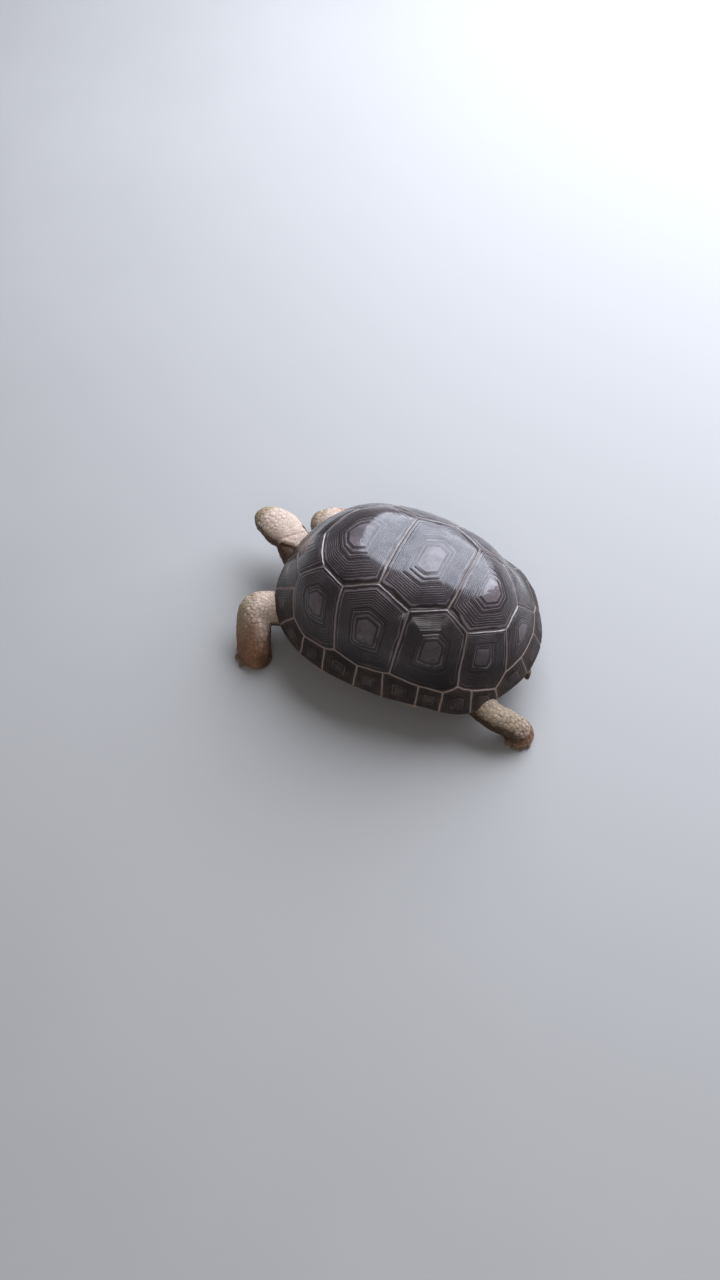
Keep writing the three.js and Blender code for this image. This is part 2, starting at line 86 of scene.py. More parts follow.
def shell_at(x, y):
    """How far out to the rim a point of the floor lies, the rim's height and the dome's height there."""
    dy = y - CENTRE_Y
    front = dy < 0
    length = np.where(front, FRONT_LENGTH, REAR_LENGTH)
    n = np.where(front, FRONT_POWER, REAR_POWER)
    plan = (np.abs(x) / HALF_WIDTH) ** n + (np.abs(dy) / length) ** n
    raw = np.maximum(plan ** (1 / n), 1e-6)
    along = np.minimum(np.abs(dy) / length / raw, 1)
    turn = (np.arctan2(dy, np.abs(x)) - FLARE_ANGLE) / FLARE_SPREAD
    r = raw / (1 + FLARE * np.exp(-turn * turn) * smooth((raw - 0.8) / 0.2))
    rim = RIM_SIDE_Z + (np.where(front, RIM_FRONT_Z, RIM_REAR_Z) - RIM_SIDE_Z) * along**3
    rise = np.maximum(1 - np.minimum(r, 1) ** WALL_POWER, 0) ** WALL_SOFTNESS
    return r, rim, rim + (CROWN_Z - rim) * rise


def on_shell(points, lift=0.0):
    """Slides points along their lines from the focus until they meet the dome, then out by lift."""
    ray = np.asarray(points, float) - FOCUS
    ray = ray / np.linalg.norm(ray, axis=1)[:, None]
    near, far = np.zeros(len(ray)), np.full(len(ray), 300.0)
    for _ in range(36):
        t = (near + far) / 2
        q = FOCUS + ray * t[:, None]
        r, _rim, z = shell_at(q[:, 0], q[:, 1])
        inside = (r < 1) & (q[:, 2] < z)
        near, far = np.where(inside, t, near), np.where(inside, far, t)
    return FOCUS + ray * (near + lift)[:, None]


def top(x, y):
    return np.array([x, y, float(shell_at(np.array(x, float), np.array(y, float))[2])])


def rim_at(angle):
    """The point of the rim at an angle in plan, 0 to the left and -90 degrees at the nose."""
    near, far = 0.0, 300.0
    for _ in range(36):
        t = (near + far) / 2
        r = shell_at(np.array(math.cos(angle) * t), np.array(CENTRE_Y + math.sin(angle) * t))[0]
        near, far = (t, far) if r < 1 else (near, t)
    x, y = math.cos(angle) * near, CENTRE_Y + math.sin(angle) * near
    return np.array([x, y, float(shell_at(np.array(x), np.array(y))[1])])


def rim_over(x, y):
    return rim_at(math.atan2(y - CENTRE_Y, x))


CORNERS = {
    "frontMid": top(0, -158), "nuchal": top(14, -157), "v1c1": top(58.7, -132.4),
    "v12": top(53.1, -98.4), "v12Mid": top(0, -124), "c12Top": top(72.3, -62.4),
    "v23": top(58, -20.3), "v23Mid": top(0, -22), "c23Top": top(73.3, 27.1),
    "v34": top(52.2, 68.6), "v34Mid": top(0, 70), "c34Top": top(59, 99.4),
    "v45": top(20.1, 137.1), "v45Mid": top(0, 137.5), "v5c4": top(50.6, 153.9),
    "caudal": top(21, 163.5), "rearMid": top(0, 165), "c12": top(120.2, -52.4),
    "c23": top(121.6, 24.8), "c34": top(102.4, 109.4), "m12": top(71.9, -133.5),
    "m23": top(99.3, -120.4), "m34": top(113.4, -99), "m45": top(120.5, -66),
    "m56": top(125, -17.8), "m67": top(123, 17), "m78": top(118, 64),
    "m89": top(113.2, 94.6), "m910": top(95.2, 126), "m1011": top(71.4, 149.8),
    "rimMid": rim_over(0, -180), "r0": rim_over(13, -180), "r12": rim_over(57, -173),
    "r23": rim_over(101, -144), "r34": rim_over(126, -101), "r45": rim_over(134, -64),
    "r56": rim_over(138, -18), "r67": rim_over(138, 22), "r78": rim_over(132, 66),
    "r89": rim_over(124, 95), "r910": rim_over(106, 127), "r1011": rim_over(77, 158),
    "r11": rim_over(25, 179), "rimTail": rim_over(0, 180),
}
MIDDLE_PLATES = {
    "vertebral_1": (["frontMid", "nuchal", "v1c1", "v12", "v12Mid"], top(0, -139)),
    "vertebral_2": (["v12Mid", "v12", "c12Top", "v23", "v23Mid"], top(0, -71)),
    "vertebral_3": (["v23Mid", "v23", "c23Top", "v34", "v34Mid"], top(0, 24)),
    "vertebral_4": (["v34Mid", "v34", "c34Top", "v45", "v45Mid"], top(0, 104)),
    "vertebral_5": (["v45Mid", "v45", "v5c4", "caudal", "rearMid"], top(0, 151)),
}
COSTALS = [
    (["v1c1", "v12", "c12Top", "c12", "m45", "m34", "m23", "m12"], top(89.2, -89.4)),
    (["c12Top", "v23", "c23Top", "c23", "m67", "m56", "c12"], top(103.7, -15.8)),
    (["c23Top", "v34", "c34Top", "c34", "m89", "m78", "c23"], top(93.1, 67)),
    (["c34Top", "v45", "v5c4", "m1011", "m910", "c34"], top(64.4, 120.7)),
]
MARGINALS = [
    ["nuchal", "v1c1", "m12", "r12", "r0"],
    ["m12", "m23", "r23", "r12"],
    ["m23", "m34", "r34", "r23"],
    ["m34", "m45", "r45", "r34"],
    ["m45", "c12", "m56", "r56", "r45"],
    ["m56", "m67", "r67", "r56"],
    ["m67", "c23", "m78", "r78", "r67"],
    ["m78", "m89", "r89", "r78"],
    ["m89", "c34", "m910", "r910", "r89"],
    ["m910", "m1011", "r1011", "r910"],
    ["m1011", "v5c4", "caudal", "r11", "r1011"],
]


def on_rim(name):
    return name.startswith("rim") or (name[0] == "r" and name[1].isdigit())


def seam_points(start, end, spacing):
    """Points from one corner up to the next, cut the same way by the plates on both sides."""
    swap = start > end
    a, b = (CORNERS[end], CORNERS[start]) if swap else (CORNERS[start], CORNERS[end])
    count = max(2, round(float(np.linalg.norm(b - a)) / spacing))
    if on_rim(start) and on_rim(end):
        bearings = [math.atan2(p[1] - CENTRE_Y, p[0]) for p in (a, b)]
        turn = bearings[1] - bearings[0]
        points = np.array([rim_at(bearings[0] + turn * i / count) for i in range(count + 1)])
    else:
        points = on_shell(np.array([a + (b - a) * i / count for i in range(count + 1)]))
        noise.seed_set(SEAM_SEED)
        wander = np.array([noise.noise_vector(Vector(p) * 0.09) for p in points]) * 0.8
        wander *= np.sin(np.linspace(0, math.pi, count + 1))[:, None]
        points = on_shell(points + wander)
    return (points[::-1] if swap else points)[:-1]


def outline(names, spacing):
    parts = [seam_points(a, b, spacing) for a, b in zip(names, names[1:] + names[:1])]
    rims = [np.full(len(p), on_rim(a) and on_rim(b)) for p, a, b in zip(parts, names, names[1:] + names[:1])]
    return np.concatenate(parts), np.concatenate(rims)


def middle_outline(names, spacing):
    """A plate on the midline: its left edge, closed by the mirror of it."""
    pairs = list(zip(names, names[1:]))
    parts = [seam_points(a, b, spacing) for a, b in pairs] + [CORNERS[names[-1]][None, :]]
    rims = [np.full(len(p), on_rim(a) and on_rim(b)) for p, (a, b) in zip(parts, pairs)] + [np.array([False])]
    left, rim = np.concatenate(parts), np.concatenate(rims)
    left[0, 0] = left[-1, 0] = 0.0
    right = (left * [-1, 1, 1])[-2:0:-1]
    return np.concatenate([left, right]), np.concatenate([rim, rim[-2:0:-1]])


# ------------------------------------------------------------------ working by hand


def deselect():
    if bpy.context.object and bpy.context.object.mode != "OBJECT":
        bpy.ops.object.mode_set(mode="OBJECT")
    bpy.ops.object.select_all(action="DESELECT")


def take(piece):
    """Makes a piece the only selected and active one."""
    deselect()
    piece.select_set(True)
    bpy.context.view_layer.objects.active = piece


def started(name):
    """Names the primitive that was just added."""
    piece = bpy.context.object
    piece.name = piece.data.name = name
    return piece


def settle(piece):
    """Puts a piece's place into its mesh, so that its object sits at the origin."""
    take(piece)
    bpy.ops.object.transform_apply(location=True, rotation=True, scale=True)


def use_modifier(piece, kind, name, **settings):
    take(piece)
    added = piece.modifiers.new(name, kind)
    for key, value in settings.items():
        setattr(added, key, value)
    bpy.ops.object.modifier_apply(modifier=added.name)


def edit(piece, mode="VERT", chosen="DESELECT"):
    take(piece)
    bpy.ops.object.mode_set(mode="EDIT")
    bpy.ops.mesh.select_mode(type=mode)
    bpy.ops.mesh.select_all(action=chosen)


def leave():
    """Goes back from editing to the object."""
    bpy.ops.object.mode_set(mode="OBJECT")


def face_outwards(piece):
    edit(piece, chosen="SELECT")
    bpy.ops.mesh.remove_doubles(threshold=1e-6)
    bpy.ops.mesh.normals_make_consistent(inside=False)
    leave()


def triples(items, attribute, kind=float):
    """An attribute of three numbers, read off each of a mesh's points, faces or triangles."""
    flat = np.empty(len(items) * 3, kind)
    items.foreach_get(attribute, flat)
    return flat.reshape(-1, 3)


def places(piece):
    """The piece's points in millimetres in the animal's frame."""
    return triples(piece.data.vertices, "co") * 1000 - MIDDLE


def unit_places(piece):
    """The points of a primitive that was made one metre in size, as shares of it."""
    return (places(piece) + MIDDLE) * 0.001


def lay(piece, points):
    piece.data.vertices.foreach_set("co", in_part(points).ravel())
    piece.data.update()


def stamp(piece, name, values):
    """Stores a number on each point for the materials to read."""
    attribute = piece.data.attributes.new(name, "FLOAT", "POINT")
    attribute.data.foreach_set("value", np.asarray(values, np.float32))


def finish_piece(piece, material, slot, *nodes, smooth_angle=None):
    piece.data.materials.clear()
    piece.data.materials.append(material)
    take(piece)
    if smooth_angle is None:
        bpy.ops.object.shade_smooth()
    else:
        bpy.ops.object.shade_smooth_by_angle(angle=smooth_angle)
    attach(piece, BODY)
    if nodes:
        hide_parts(*nodes)
    return piece


def noise_at(points, scale, seed=0.0):
    shift = Vector((seed * 17.3, seed * 5.1, seed * 9.7))
    return np.array([noise.noise(Vector(p) * scale + shift) for p in points])


# ------------------------------------------------------------------ horn plates


def pick(piece, vertices=(), edges=()):
    """Selects points or edges of the piece by their numbers, in edit mode."""
    bm = bmesh.from_edit_mesh(piece.data)
    bm.verts.ensure_lookup_table()
    bm.edges.ensure_lookup_table()
    for i in vertices:
        bm.verts[i].select_set(True)
    for i in edges:
        bm.edges[i].select_set(True)
    bm.select_flush_mode()
    bmesh.update_edit_mesh(piece.data)


def edge_distance(points, loop):
    """Each point's distance from the closed line through loop."""
    a, b = loop, np.roll(loop, -1, axis=0)
    run = b - a
    length = np.maximum((run * run).sum(1), 1e-9)
    best = np.full(len(points), 1e9)
    for start, step, size in zip(a, run, length):
        t = np.clip(((points - start) @ step) / size, 0, 1)
        best = np.minimum(best, np.linalg.norm(points - start - t[:, None] * step, axis=1))
    return best


def growth_relief(growth, depth):
    """A narrow furrow at each whole number of seasons of growth, with a soft swell between."""
    off = np.abs(growth - np.round(growth))
    return depth * (0.2 * np.cos(2 * np.pi * growth + np.pi) - bell(off, 0.12))


def horn_plate(name, edge, round_edge, heart, press, seasons, crown, sizes):
    """One horny plate, grown in rings round its heart, with side walls and a flat back.

    edge is its outline, round_edge says where it ends in the open, press(points, lift) puts points on the
    plate's face, and crown lists how high the face stands over the bone at shares of the way to the edge.
    """
    count = len(edge)
    deselect()
    bpy.ops.mesh.primitive_circle_add(vertices=count, radius=0.05, fill_type="NOTHING")
    piece = started(name)
    lay(piece, edge)
    ring = piece.data.attributes.new("ring", "FLOAT", "POINT")
    ring.data.foreach_set("value", np.ones(count, np.float32))

    # The face: the outline drawn in to the heart, cut into rings, its last ring closed to a point.
    inner = 0.02
    edit(piece, chosen="SELECT")
    bpy.ops.mesh.extrude_edges_move()
    bpy.ops.transform.resize(value=(inner,) * 3, center_override=Vector(in_part(heart)))
    leave()
    share = np.ones(2 * count, np.float32)
    share[count:] = inner
    piece.data.attributes["ring"].data.foreach_set("value", share)
    spokes = [e.index for e in piece.data.edges if (e.vertices[0] < count) != (e.vertices[1] < count)]
    edit(piece, "EDGE")
    pick(piece, edges=spokes)
    bpy.ops.mesh.subdivide_edgering(number_cuts=sizes["rings"], interpolation="LINEAR")
    leave()

    share = np.empty(len(piece.data.vertices), np.float32)
    piece.data.attributes["ring"].data.foreach_get("value", share)
    drawn = places(piece)
    ends = heart + (drawn - heart) / share[:, None]
    packed = 1 - (1 - share) * (0.55 + 0.45 * (1 - share))
    packed = np.where(share < 1, packed, 1.0)
    flat = heart + (ends - heart) * packed[:, None]
    to_seam = edge_distance(flat, edge)
    core = 0.27
    shares = (core, 0.35, 0.44, 0.56, 0.87, 1.0)
    growth = np.interp(packed, shares, (0, 1, 2, 2.8, seasons, seasons + 0.35))
    growth = growth + 0.16 * noise_at(flat, 0.05, seasons) * smooth((packed - core) / 0.1)
    lift = np.interp(packed, crown[0], crown[1])
    furrows = growth_relief(growth, sizes["depth"]) * smooth((packed - core) / 0.06)
    furrows *= smooth((to_seam - 1.6) / 1.6)
    lift += furrows * (0.45 + 1.1 * smooth((noise_at(flat, 0.022, seasons + 1) + 0.22) / 0.44))
    lift += 0.12 * noise_at(flat, 0.3) * smooth((core - packed) / 0.05)
    lift += 0.2 * bell(packed - core, 0.018)
    groove = sizes["seam"] / 2
    lift -= sizes["groove"] * bell(to_seam, groove)
    if round_edge.any():
        open_edge = np.concatenate([edge[round_edge], edge[np.roll(round_edge, 1)]])
        near = np.linalg.norm(flat[:, None, :] - open_edge[None, :, :], axis=2).min(1)
        lift -= 1.5 * np.clip(1 - near / 5, 0, 1) ** 2
    lay(piece, press(flat, lift))
    stamp(piece, "growth", growth)
    stamp(piece, "to_seam", np.where(to_seam < 20, to_seam, 20))

    # The wall: the outline goes down to the bone, in under the plate, and closes on one point.
    rim = [e.index for e in piece.data.edges if e.vertices[0] < count and e.vertices[1] < count]
    under = press(edge, np.full(count, -sizes["thick"]))
    middle = press(heart[None, :], np.array([-sizes["thick"]]))
    outer = places(piece)[:count]
    for target in (outer * 0.65 + under * 0.35, under, np.repeat(middle, count, axis=0)):
        before = len(piece.data.vertices)
        edit(piece, "EDGE")
        pick(piece, edges=rim)
        bpy.ops.mesh.extrude_edges_move()
        leave()
        points = places(piece)
        if before == len(packed):
            order = [int(np.argmin(((points[:count] - p) ** 2).sum(1))) for p in points[before:]]
        points[before:] = target[order]
        lay(piece, points)
        rim = [e.index for e in piece.data.edges if min(e.vertices) >= before]
    points[np.flatnonzero(packed < inner * 2)] = press(heart[None, :], np.array([crown[1][0]]))
    lay(piece, points)
    face_outwards(piece)
    return piece


def mirrored(piece, name):
    """The same plate on the other side, with its own mesh."""
    take(piece)
    bpy.ops.object.duplicate()
    other = started(name)
    bpy.ops.transform.resize(value=(-1, 1, 1), center_override=(0, 0, 0))
    settle(other)
    face_outwards(other)
    return other


# ------------------------------------------------------------------ materials


class Nodes:
    """Adds nodes to one material or group, each socket given a value or another node's output."""

    def __init__(self, tree):
        self.tree = tree

    def wire(self, node, sockets):
        for key, value in sockets.items():
            if isinstance(value, bpy.types.NodeSocket):
                self.tree.links.new(value, node.inputs[key])
            else:
                node.inputs[key].default_value = value

    def add(self, kind, sockets=None, **settings):
        """The outputs of a new node."""
        made = self.tree.nodes.new(kind)
        for key, value in settings.items():
            setattr(made, key, value)
        self.wire(made, sockets or {})
        return made.outputs

    def math(self, operation, *values):
        return self.add("ShaderNodeMath", dict(enumerate(values)), operation=operation)[0]

    def times(self, first, second):
        return self.math("MULTIPLY", first, second)

    def plus(self, first, second):
        return self.math("ADD", first, second)

    def minus(self, first, second):
        return self.math("SUBTRACT", first, second)

    def ramp(self, value, low, high, to_low=0.0, to_high=1.0):
        """Goes smoothly from to_low to to_high as value goes from low to high."""
        sockets = {"Value": value, "From Min": low, "From Max": high, "To Min": to_low, "To Max": to_high}
        return self.add("ShaderNodeMapRange", sockets, interpolation_type="SMOOTHSTEP")["Result"]

    def mix(self, share, first, second, mode="MIX"):
        sockets = {0: share, 6: first, 7: second}
        return self.add("ShaderNodeMix", sockets, data_type="RGBA", blend_type=mode)[2]

    def noise(self, coords, scale, detail=4.0, roughness=0.55, distortion=0.0):
        look = {"Scale": scale, "Detail": detail, "Roughness": roughness, "Distortion": distortion}
        return self.add("ShaderNodeTexNoise", {"Vector": coords, **look})["Fac"]

    def read(self, name):
        """A number stored on the mesh."""
        return self.add("ShaderNodeAttribute", attribute_name=name)["Fac"]

    def coords(self):
        return self.add("ShaderNodeTexCoord")["Object"]

    def height(self, coords):
        return self.add("ShaderNodeSeparateXYZ", {0: coords})["Z"]

    def use(self, group, sockets):
        return self.add("ShaderNodeGroup", sockets, node_tree=group)

    def give(self, sink, results):
        """Hands a group's results out and returns the group."""
        for name, output in results.items():
            self.tree.links.new(output, sink[name])
        return self.tree

    def bump(self, shader, height, distance, strength):
        sockets = {"Strength": strength, "Distance": distance, "Height": height}
        self.wire(shader, {"Normal": self.add("ShaderNodeBump", sockets)["Normal"]})


def rgba(colour):
    return (colour[0], colour[1], colour[2], 1.0)


SOCKET_KINDS = {float: "NodeSocketFloat", tuple: "NodeSocketColor", type(None): "NodeSocketVector"}


def new_group(name, inputs, outputs):
    """An empty node group, whose sockets are values, colours, or vectors where the default is None."""
    group = bpy.data.node_groups.new(name, "ShaderNodeTree")
    for way, sockets in (("INPUT", inputs), ("OUTPUT", outputs)):
        for label, default in sockets.items():
            socket = group.interface.new_socket(label, in_out=way, socket_type=SOCKET_KINDS[type(default)])
            if default is not None:
                socket.default_value = default
    source = group.nodes.new("NodeGroupInput").outputs
    sink = group.nodes.new("NodeGroupOutput").inputs
    return Nodes(group), source, sink


def growth_group():
    """Season lines of horn: a mask that is 1 on each line, and a height for them."""
    nodes, source, sink = new_group(
        "Season lines",
        {"Growth": 0.0, "Coordinates": None, "Waviness": 0.25, "Finer": 3.0},
        {"Line": 0.0, "Fine line": 0.0, "Height": 0.0},
    )
    wobble = nodes.noise(source["Coordinates"], 90.0, detail=3.0)
    wobble = nodes.times(nodes.minus(wobble, 0.5), source["Waviness"])
    growth = nodes.plus(source["Growth"], wobble)
    masks = []
    for value, low, high in (
        (growth, 0.66, 0.96),
        (nodes.times(growth, source["Finer"]), 0.45, 0.95),
    ):
        part = nodes.math("FRACT", nodes.plus(value, 0.5))
        part = nodes.math("ABSOLUTE", nodes.minus(part, 0.5))
        near = nodes.minus(1.0, nodes.times(part, 2.0))
        masks.append(nodes.ramp(near, low, high))
    height = nodes.plus(masks[0], nodes.times(masks[1], 0.35))
    return nodes.give(sink, {"Line": masks[0], "Fine line": masks[1], "Height": nodes.times(height, -1.0)})


def grime_group():
    """Where dust and dirt settle: patches, more of them low on the animal."""
    nodes, source, sink = new_group(
        "Settled dust",
        {"Coordinates": None, "Scale": 60.0, "Low edge": 0.0, "High edge": 0.06},
        {"Dust": 0.0},
    )
    patches = nodes.noise(source["Coordinates"], source["Scale"], detail=6.0, roughness=0.65)
    height = nodes.height(source["Coordinates"])
    low = nodes.ramp(height, source["Low edge"], source["High edge"], 1.0, 0.0)
    dust = nodes.times(nodes.ramp(patches, 0.4, 0.7), low)
    return nodes.give(sink, {"Dust": dust})


def new_material(name, specular=0.5, coat=0.0, coat_roughness=0.2, subsurface=0.0):
    """A material with its shader in place; what is the same all over is set on the shader's own sockets."""
    material = bpy.data.materials.new(name)
    material.use_nodes = True
    nodes = Nodes(material.node_tree)
    shader = nodes.tree.nodes["Principled BSDF"]
    nodes.wire(shader, {
        "Specular IOR Level": specular, "Coat Weight": coat, "Coat Roughness": coat_roughness,
        "Subsurface Weight": subsurface, "Subsurface Radius": (0.003, 0.0014, 0.0008),
    })
    return material, nodes, shader


def horn_material(name, colours, polish):
    """Dark horn with lines of growth, a paler outer zone and seams, its polish fading down the sides."""
    material, nodes, shader = new_material(name, specular=0.16, coat_roughness=0.12)
    coords = nodes.coords()
    to_seam = nodes.read("to_seam")
    ring = nodes.read("ring")
    lines = nodes.use(shared("Season lines"), {"Growth": nodes.read("growth"), "Coordinates": coords})
    dust = nodes.use(shared("Settled dust"), {"Coordinates": coords, "Low edge": 0.03, "High edge": 0.11})

    broad = nodes.noise(coords, 17.0, detail=3.0, distortion=0.4)
    middle = nodes.noise(coords, 70.0, detail=5.0)
    grain = nodes.noise(coords, 900.0, detail=3.0)
    colour = nodes.mix(nodes.ramp(broad, 0.36, 0.66), colours["dark"], colours["brown"])
    colour = nodes.mix(nodes.ramp(middle, 0.5, 0.75, 0.0, 0.35), colour, colours["black"])
    height = nodes.height(coords)
    high = nodes.ramp(height, 0.08, 0.125)
    shown = nodes.times(lines["Line"], nodes.ramp(broad, 0.36, 0.6, 0.15, 0.85))
    shown = nodes.times(shown, nodes.math("MULTIPLY_ADD", high, 0.7, 0.3))
    colour = nodes.mix(shown, colour, colours["line"])
    fine = nodes.times(lines["Fine line"], nodes.math("MULTIPLY_ADD", high, 0.3, 0.06))
    colour = nodes.mix(fine, colour, colours["line"])
    zone = nodes.times(nodes.ramp(to_seam, 5.0, 1.5), nodes.ramp(broad, 0.3, 0.6, 0.2, 0.7))
    colour = nodes.mix(zone, colour, colours["young"])
    worn = nodes.times(nodes.ramp(ring, 0.3, 0.1), nodes.ramp(middle, 0.42, 0.6, 0.0, 0.3))
    colour = nodes.mix(worn, colour, colours["worn"])
    frame_line = nodes.times(nodes.ramp(ring, 0.235, 0.265), nodes.ramp(ring, 0.305, 0.28))
    frame_line = nodes.times(frame_line, nodes.ramp(middle, 0.4, 0.6, 0.05, 0.6))
    colour = nodes.mix(frame_line, colour, colours["line"])
    wander = nodes.plus(to_seam, nodes.times(nodes.minus(middle, 0.5), 0.9))
    seam = nodes.ramp(wander, 1.45, 0.6)
    colour = nodes.mix(seam, colour, colours["seam"])
    colour = nodes.mix(nodes.times(dust["Dust"], 0.5), colour, colours["dust"])

    gloss = nodes.times(nodes.ramp(height, 0.07, 0.13, 0.08, 1.0), nodes.ramp(middle, 0.3, 0.7, 1.0, 0.75))
    gloss = nodes.times(gloss, nodes.minus(1.0, nodes.times(dust["Dust"], 0.6)))
    rough = nodes.ramp(middle, 0.3, 0.75, polish, polish + 0.16)
    rough = nodes.plus(rough, nodes.times(seam, 0.2))
    rough = nodes.plus(rough, nodes.times(dust["Dust"], 0.25))
    nodes.wire(shader, {"Base Color": colour, "Coat Weight": gloss, "Roughness": rough})
    grains = nodes.add("ShaderNodeTexVoronoi", {"Vector": coords, "Scale": 620.0}, feature="SMOOTH_F1")
    heart = nodes.times(nodes.ramp(ring, 0.3, 0.22), grains["Distance"])
    relief = nodes.times(lines["Height"], nodes.ramp(broad, 0.35, 0.62, 0.25, 1.0))
    relief = nodes.plus(relief, nodes.times(grain, 0.05))
    relief = nodes.plus(relief, nodes.times(middle, 0.4))
    relief = nodes.minus(relief, nodes.times(heart, 0.5))
    nodes.bump(shader, relief, 0.0002, 0.75)
    return material


# ------------------------------------------------------------------ what a user may change


def length_setting(name, description, default, least=0.0):
    return bpy.props.FloatProperty(
        name=name, description=description, default=default, min=least, precision=5, unit="LENGTH"
    )


def colour_setting(name, description, *default):
    return bpy.props.FloatVectorProperty(name=name, description=description, subtype="COLOR", default=default)


class ShellSettings(bpy.types.PropertyGroup):
    plate_thickness: length_setting("Plate thickness", "Horn with its bone", 0.006, 0.002)
    furrow_depth: length_setting("Furrow depth", "Depth of the furrow between two seasons of growth", 0.00017)
    seam_width: length_setting("Seam width", "Width of the groove between two plates", 0.0019, 0.0005)
    seam_depth: length_setting("Seam depth", "Depth of the groove between two plates", 0.0008)
    spacing: length_setting("Outline step", "Distance between points along a seam", 0.003, 0.001)
    rings: bpy.props.IntProperty(
        name="Rings", description="Rings of faces on a large plate", default=62, min=8, max=120
    )
    dark: colour_setting("Horn", "Horn of the plates", 0.0115, 0.0072, 0.0072)
    brown: colour_setting("Brown horn", "Browner patches of horn", 0.026, 0.0165, 0.0135)
    black: colour_setting("Darkest horn", "Darkest patches of horn", 0.005, 0.0042, 0.0044)
    line: colour_setting("Season line", "Pale lines of growth", 0.21, 0.165, 0.175)
    young: colour_setting("Young horn", "Newest growth beside the seams", 0.05, 0.036, 0.034)
    worn: colour_setting("Worn horn", "Rubbed horn on the hearts of the plates", 0.06, 0.054, 0.056)
    seam: colour_setting("Seam", "Pale horn in the seams", 0.33, 0.255, 0.235)
    dust: colour_setting("Dust", "Dry dirt low on the shell", 0.12, 0.09, 0.065)


class StageSettings(bpy.types.PropertyGroup):
    floor_colour: colour_setting("Floor", "Colour of the plain floor", 0.43, 0.415, 0.395)
    camera_place: bpy.props.FloatVectorProperty(
        name="Camera", description="Where the camera stands", subtype="XYZ", unit="LENGTH",
        default=(0.76434, 0.31685, 1.19097)
    )
    camera_aim: bpy.props.FloatVectorProperty(
        name="Aim", description="The direction the camera looks in", subtype="DIRECTION",
        default=(-0.503877, -0.243457, -0.828756)
    )
    lens: bpy.props.FloatProperty(
        name="Lens", description="Focal length on a 36 mm sensor", default=29.53, min=1.0, unit="CAMERA"
    )
    sky_power: bpy.props.FloatProperty(
        name="Sky light", description="Power of the broad light over the back", default=150.0, unit="POWER"
    )
    fill_power: bpy.props.FloatProperty(
        name="Fill light", description="Power of the light on the near side", default=5.0, unit="POWER"
    )


def shell_sizes(settings, share=1.0):
    return {
        "rings": max(8, round(settings.rings * share)),
        "depth": settings.furrow_depth * 1000,
        "seam": settings.seam_width * 1000,
        "groove": settings.seam_depth * 1000,
        "thick": settings.plate_thickness * 1000,
        "spacing": settings.spacing * 1000,
    }


def shell_colours(settings, warmer=0.0):
    names = ("dark", "brown", "black", "line", "young", "worn", "seam", "dust")
    lift = np.array([1 + warmer, 1 + 0.8 * warmer, 1 + 0.2 * warmer])
    return {name: rgba(np.array(getattr(settings, name)) * lift) for name in names}


def shared(kind):
    """A node group is made when the first material asks for it, and then used again."""
    made = {
        "Season lines": growth_group,
        "Settled dust": grime_group,
        "Hide colours": hide_group,
    }
    return bpy.data.node_groups.get(kind) or made[kind]()


def shell_material(name):
    if name in bpy.data.materials:
        return bpy.data.materials[name]
    settings = bpy.context.scene.tortoise_shell
    warmth, polish = {"Carapace horn": (0.0, 0.3), "Rim horn": (0.12, 0.36), "Belly horn": (0.5, 0.45)}[name]
    return horn_material(name, shell_colours(settings, warmth), polish)


BROAD_CROWN = ((0.0, 0.14, 0.26, 0.86, 0.95, 1.0), (1.9, 1.8, 1.5, 0.45, 0.1, -0.4))
RIM_CROWN = ((0.0, 0.25, 0.6, 0.9, 1.0), (0.9, 0.8, 0.5, 0.1, -0.3))
FLAT_CROWN = ((0.0, 0.6, 1.0), (0.0, 0.0, -0.3))


# A plate's crown, its material and its slot.
BROAD_PLATE = (BROAD_CROWN, "Carapace horn", "carapace_horn")
RIM_PLATE = (RIM_CROWN, "Rim horn", "marginal_horn")


def shell_plates(nodes, edge, open_edge, heart, seasons, look, sizes):
    """Builds the plate of the first node, and its mirror image for a second one."""
    crown, material, slot = look
    pieces = [horn_plate(nodes[0] + "_horn", edge, open_edge, heart, on_shell, seasons, crown, sizes)]
    pieces += [mirrored(pieces[0], node + "_horn") for node in nodes[1:]]
    for piece, node in zip(pieces, nodes):
        finish_piece(piece, shell_material(material), slot, node)


class TORTOISE_OT_vertebrals(bpy.types.Operator):
    """Builds the five plates along the back"""

    bl_idname = "tortoise.vertebrals"
    bl_label = "Plates of the back"

    def execute(self, context):
        sizes = shell_sizes(context.scene.tortoise_shell)
        for seasons, (name, (names, heart)) in zip((8, 9, 10, 8, 7), MIDDLE_PLATES.items()):
            edge, open_edge = middle_outline(names, sizes["spacing"])
            shell_plates([name], edge, open_edge, heart, seasons, BROAD_PLATE, sizes)
        return {"FINISHED"}


class TORTOISE_OT_costals(bpy.types.Operator):
    """Builds the four large plates on each flank"""

    bl_idname = "tortoise.costals"
    bl_label = "Plates of the flanks"

    def execute(self, context):
        sizes = shell_sizes(context.scene.tortoise_shell)
        for i, (seasons, (names, heart)) in enumerate(zip((8, 9, 10, 8), COSTALS), 1):
            edge, open_edge = outline(names, sizes["spacing"])
            pair = [f"costal_left_{i}", f"costal_right_{i}"]
            shell_plates(pair, edge, open_edge, heart, seasons, BROAD_PLATE, sizes)
        return {"FINISHED"}


